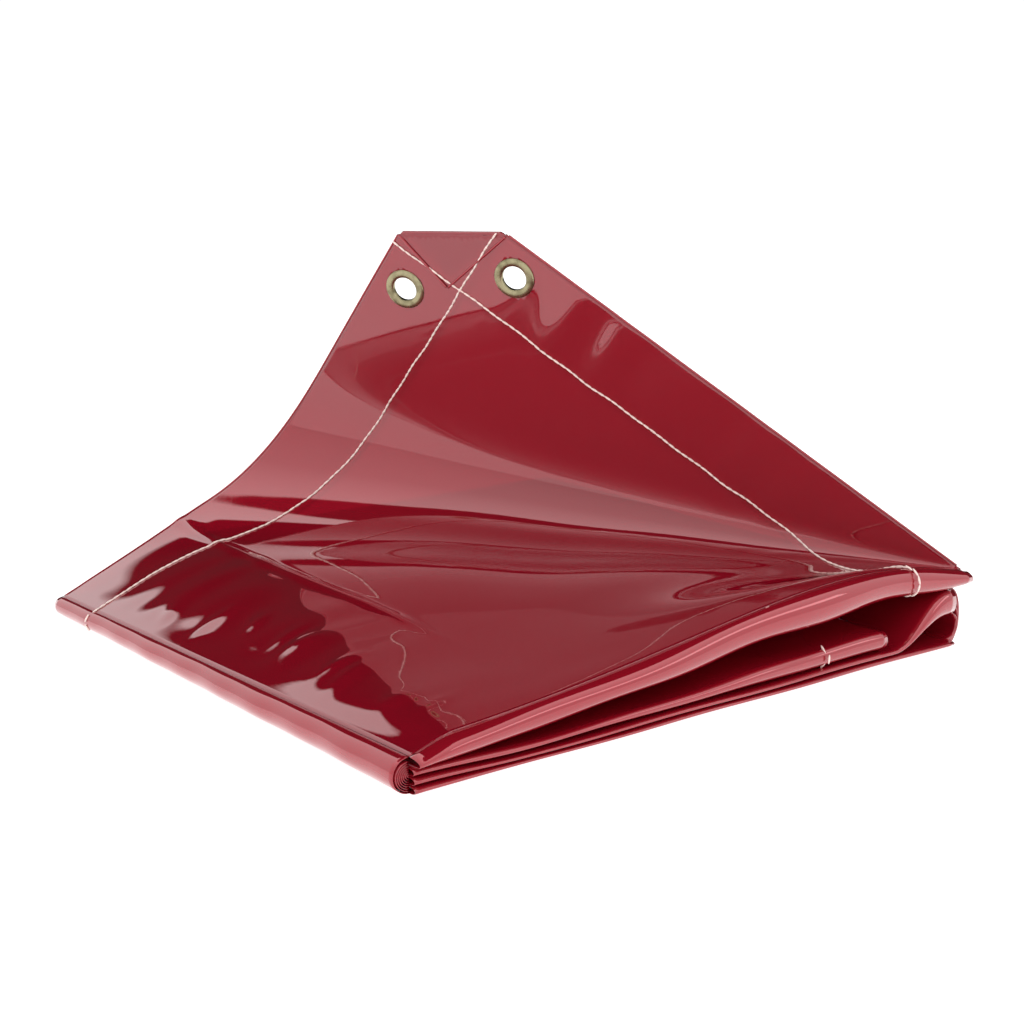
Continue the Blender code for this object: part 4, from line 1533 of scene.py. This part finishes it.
# ------------------------------------------------------------------ studio
@dataclass
class Studio:
    """Floor, lights, surroundings and camera."""

    eye: tuple[float, float, float]
    heading: float = math.radians(37.9)
    pitch: float = math.radians(-11.5)
    lens: float = 56.25
    floor_half: float = 15.0
    wall_top: float = 0.92
    left_wall_edge: float = 0.10
    front_wall_edge: float = -0.15
    wall_glow: float = 3.0
    wall_low: float = 0.33
    wall_middle: float = 0.42
    wall_high: float = 0.62
    room_glow: float = 0.02
    overhead_glow: float = 0.010

    @staticmethod
    def grey(level: float) -> tuple[float, float, float, float]:
        """A neutral colour of one brightness."""
        return (level, level, level, 1.0)

    def build_floor(self) -> None:
        """A plain pale floor."""
        half = self.floor_half
        points = np.array([[[-half, -half, 0.0], [-half, half, 0.0]],
                           [[half, -half, 0.0], [half, half, 0.0]]])
        floor = grid_object("studio_floor", points)
        floor.location.z = -0.0006
        paint = bpy.data.materials.new("pale_floor")
        paint.use_nodes = True
        shader = paint.node_tree.nodes["Principled BSDF"]
        shader.inputs["Base Color"].default_value = (0.5, 0.5, 0.5, 1.0)
        shader.inputs["Roughness"].default_value = 1.0
        shader.inputs["Emission Color"].default_value = (1.0, 1.0, 1.0, 1.0)
        shader.inputs["Emission Strength"].default_value = 0.95
        floor.data.materials.append(paint)

    def build_surroundings(self) -> None:
        """Soft white walls left and in front, a dim grey room behind, darkness overhead.

        What is seen straight, or through the film, is white all round.
        """
        world = bpy.data.worlds.new("studio")
        world.use_nodes = True
        nodes, links = world.node_tree.nodes, world.node_tree.links
        place = nodes.new("ShaderNodeTexCoord")
        split = nodes.new("ShaderNodeSeparateXYZ")
        links.new(place.outputs["Generated"], split.inputs["Vector"])
        glow = nodes.new("ShaderNodeValToRGB")
        links.new(split.outputs["Z"], glow.inputs["Fac"])
        stops = glow.color_ramp.elements
        stops[0].position, stops[0].color = 0.0, self.grey(self.wall_low)
        stops[1].position, stops[1].color = self.wall_top, self.grey(self.wall_high)
        stops.new(0.60).color = self.grey(self.wall_middle)
        stops.new(self.wall_top + 0.006).color = self.grey(self.overhead_glow)
        walls = []
        for axis, edge in (("X", self.left_wall_edge), ("Y", self.front_wall_edge)):
            one = nodes.new("ShaderNodeMapRange")
            one.inputs["From Min"].default_value = edge
            one.inputs["From Max"].default_value = edge - 0.02
            links.new(split.outputs[axis], one.inputs["Value"])
            walls.append(one)
        wall = nodes.new("ShaderNodeMath")
        wall.operation = "MAXIMUM"
        for side, one in enumerate(walls):
            links.new(one.outputs["Result"], wall.inputs[side])
        bright = nodes.new("ShaderNodeVectorMath")
        bright.operation = "SCALE"
        bright.inputs["Scale"].default_value = self.wall_glow
        links.new(glow.outputs["Color"], bright.inputs[0])
        room = nodes.new("ShaderNodeValToRGB")
        links.new(split.outputs["Z"], room.inputs["Fac"])
        stops = room.color_ramp.elements
        stops[0].position, stops[0].color = 0.44, self.grey(self.room_glow)
        stops[1].position, stops[1].color = 0.54, self.grey(0.8 * self.overhead_glow)
        ramp = nodes.new("ShaderNodeMix")
        ramp.data_type = "RGBA"
        links.new(room.outputs["Color"], ramp.inputs["A"])
        links.new(wall.outputs["Value"], ramp.inputs["Factor"])
        links.new(bright.outputs["Vector"], ramp.inputs["B"])
        seen = nodes.new("ShaderNodeLightPath")
        unmirrored = nodes.new("ShaderNodeMath")
        unmirrored.operation = "SUBTRACT"
        unmirrored.use_clamp = True
        links.new(seen.outputs["Is Transmission Ray"], unmirrored.inputs[0])
        links.new(seen.outputs["Glossy Depth"], unmirrored.inputs[1])
        straight = nodes.new("ShaderNodeMath")
        straight.operation = "MAXIMUM"
        links.new(seen.outputs["Is Camera Ray"], straight.inputs[0])
        links.new(unmirrored.outputs["Value"], straight.inputs[1])
        backdrop = nodes.new("ShaderNodeMix")
        backdrop.data_type = "RGBA"
        backdrop.inputs["B"].default_value = (1.0, 1.0, 1.0, 1.0)
        links.new(straight.outputs["Value"], backdrop.inputs["Factor"])
        links.new(ramp.outputs["Result"], backdrop.inputs["A"])
        background = nodes["Background"]
        links.new(backdrop.outputs["Result"], background.inputs["Color"])
        background.inputs["Strength"].default_value = 1.05
        bpy.context.scene.world = world

    def add_softbox(self, name: str, place: tuple[float, float, float],
                    size: tuple[float, float], glow: float) -> None:
        """A soft rectangular light aimed at the object.

        Args:
            name: the light's name.
            place: its middle.
            size: its width and height.
            glow: its brightness, 1 being the white of the surroundings.
        """
        data = bpy.data.lights.new(name, "AREA")
        data.shape = "RECTANGLE"
        data.size, data.size_y = size
        data.energy = glow * math.pi * size[0] * size[1]
        light = bpy.data.objects.new(name, data)
        light.location = place
        aim = Vector((0.0, 0.0, 0.05)) - Vector(place)
        light.rotation_euler = aim.to_track_quat("-Z", "Y").to_euler()
        light.visible_camera = False
        light.visible_transmission = False
        bpy.context.scene.collection.objects.link(light)

    def build_camera(self) -> None:
        """The camera at standing height a little to the left of the front corner."""
        data = bpy.data.cameras.new("camera")
        data.lens = self.lens
        camera = bpy.data.objects.new("camera", data)
        camera.location = self.eye
        ahead = Vector((math.sin(self.heading) * math.cos(self.pitch),
                        math.cos(self.heading) * math.cos(self.pitch), math.sin(self.pitch)))
        camera.rotation_euler = ahead.to_track_quat("-Z", "Y").to_euler()
        bpy.context.scene.collection.objects.link(camera)
        bpy.context.scene.camera = camera

    def build(self) -> None:
        """Builds the whole studio."""
        self.build_floor()
        self.build_surroundings()
        self.add_softbox("front_right_light", (2.0, -2.6, 1.6), (1.6, 0.5), 2.0)
        self.add_softbox("back_light", (1.35, 1.8, 1.25), (0.34, 0.12), 0.5)
        self.build_camera()
        bpy.context.scene.view_settings.view_transform = "Standard"
        LOG.info("studio")


# ------------------------------------------------------------------ the whole object
def main() -> None:
    """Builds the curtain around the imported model."""
    logging.basicConfig(level=logging.INFO, format="%(message)s")
    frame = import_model()

    wrap_low, wrap_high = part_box("left_wrap_1")
    shape = PacketShape(origin=(wrap_high[0], wrap_low[1]))
    finishes = Finishes()
    finishes.build()

    inset, first = EYELET_INSET, EYELET_FIRST
    eyelets = [
        Eyelet("eyelet_top_1", shape.length_u - first, shape.length_v - inset),
        Eyelet("eyelet_right_1", shape.length_u - inset, shape.length_v - first),
    ]
    Packet(shape, finishes).build()
    TopLayer(shape, finishes, eyelets).build()
    FoldedTip(shape, finishes).build()
    Seams(shape, finishes).build()
    dress_hidden_eyelets(frame["nodes"], finishes, tuple(e.name for e in eyelets))

    left, ahead, up = CAMERA_OFFSET
    Studio(eye=(shape.origin[0] - left, shape.origin[1] - ahead, up)).build()


if __name__ == "__main__":
    main()
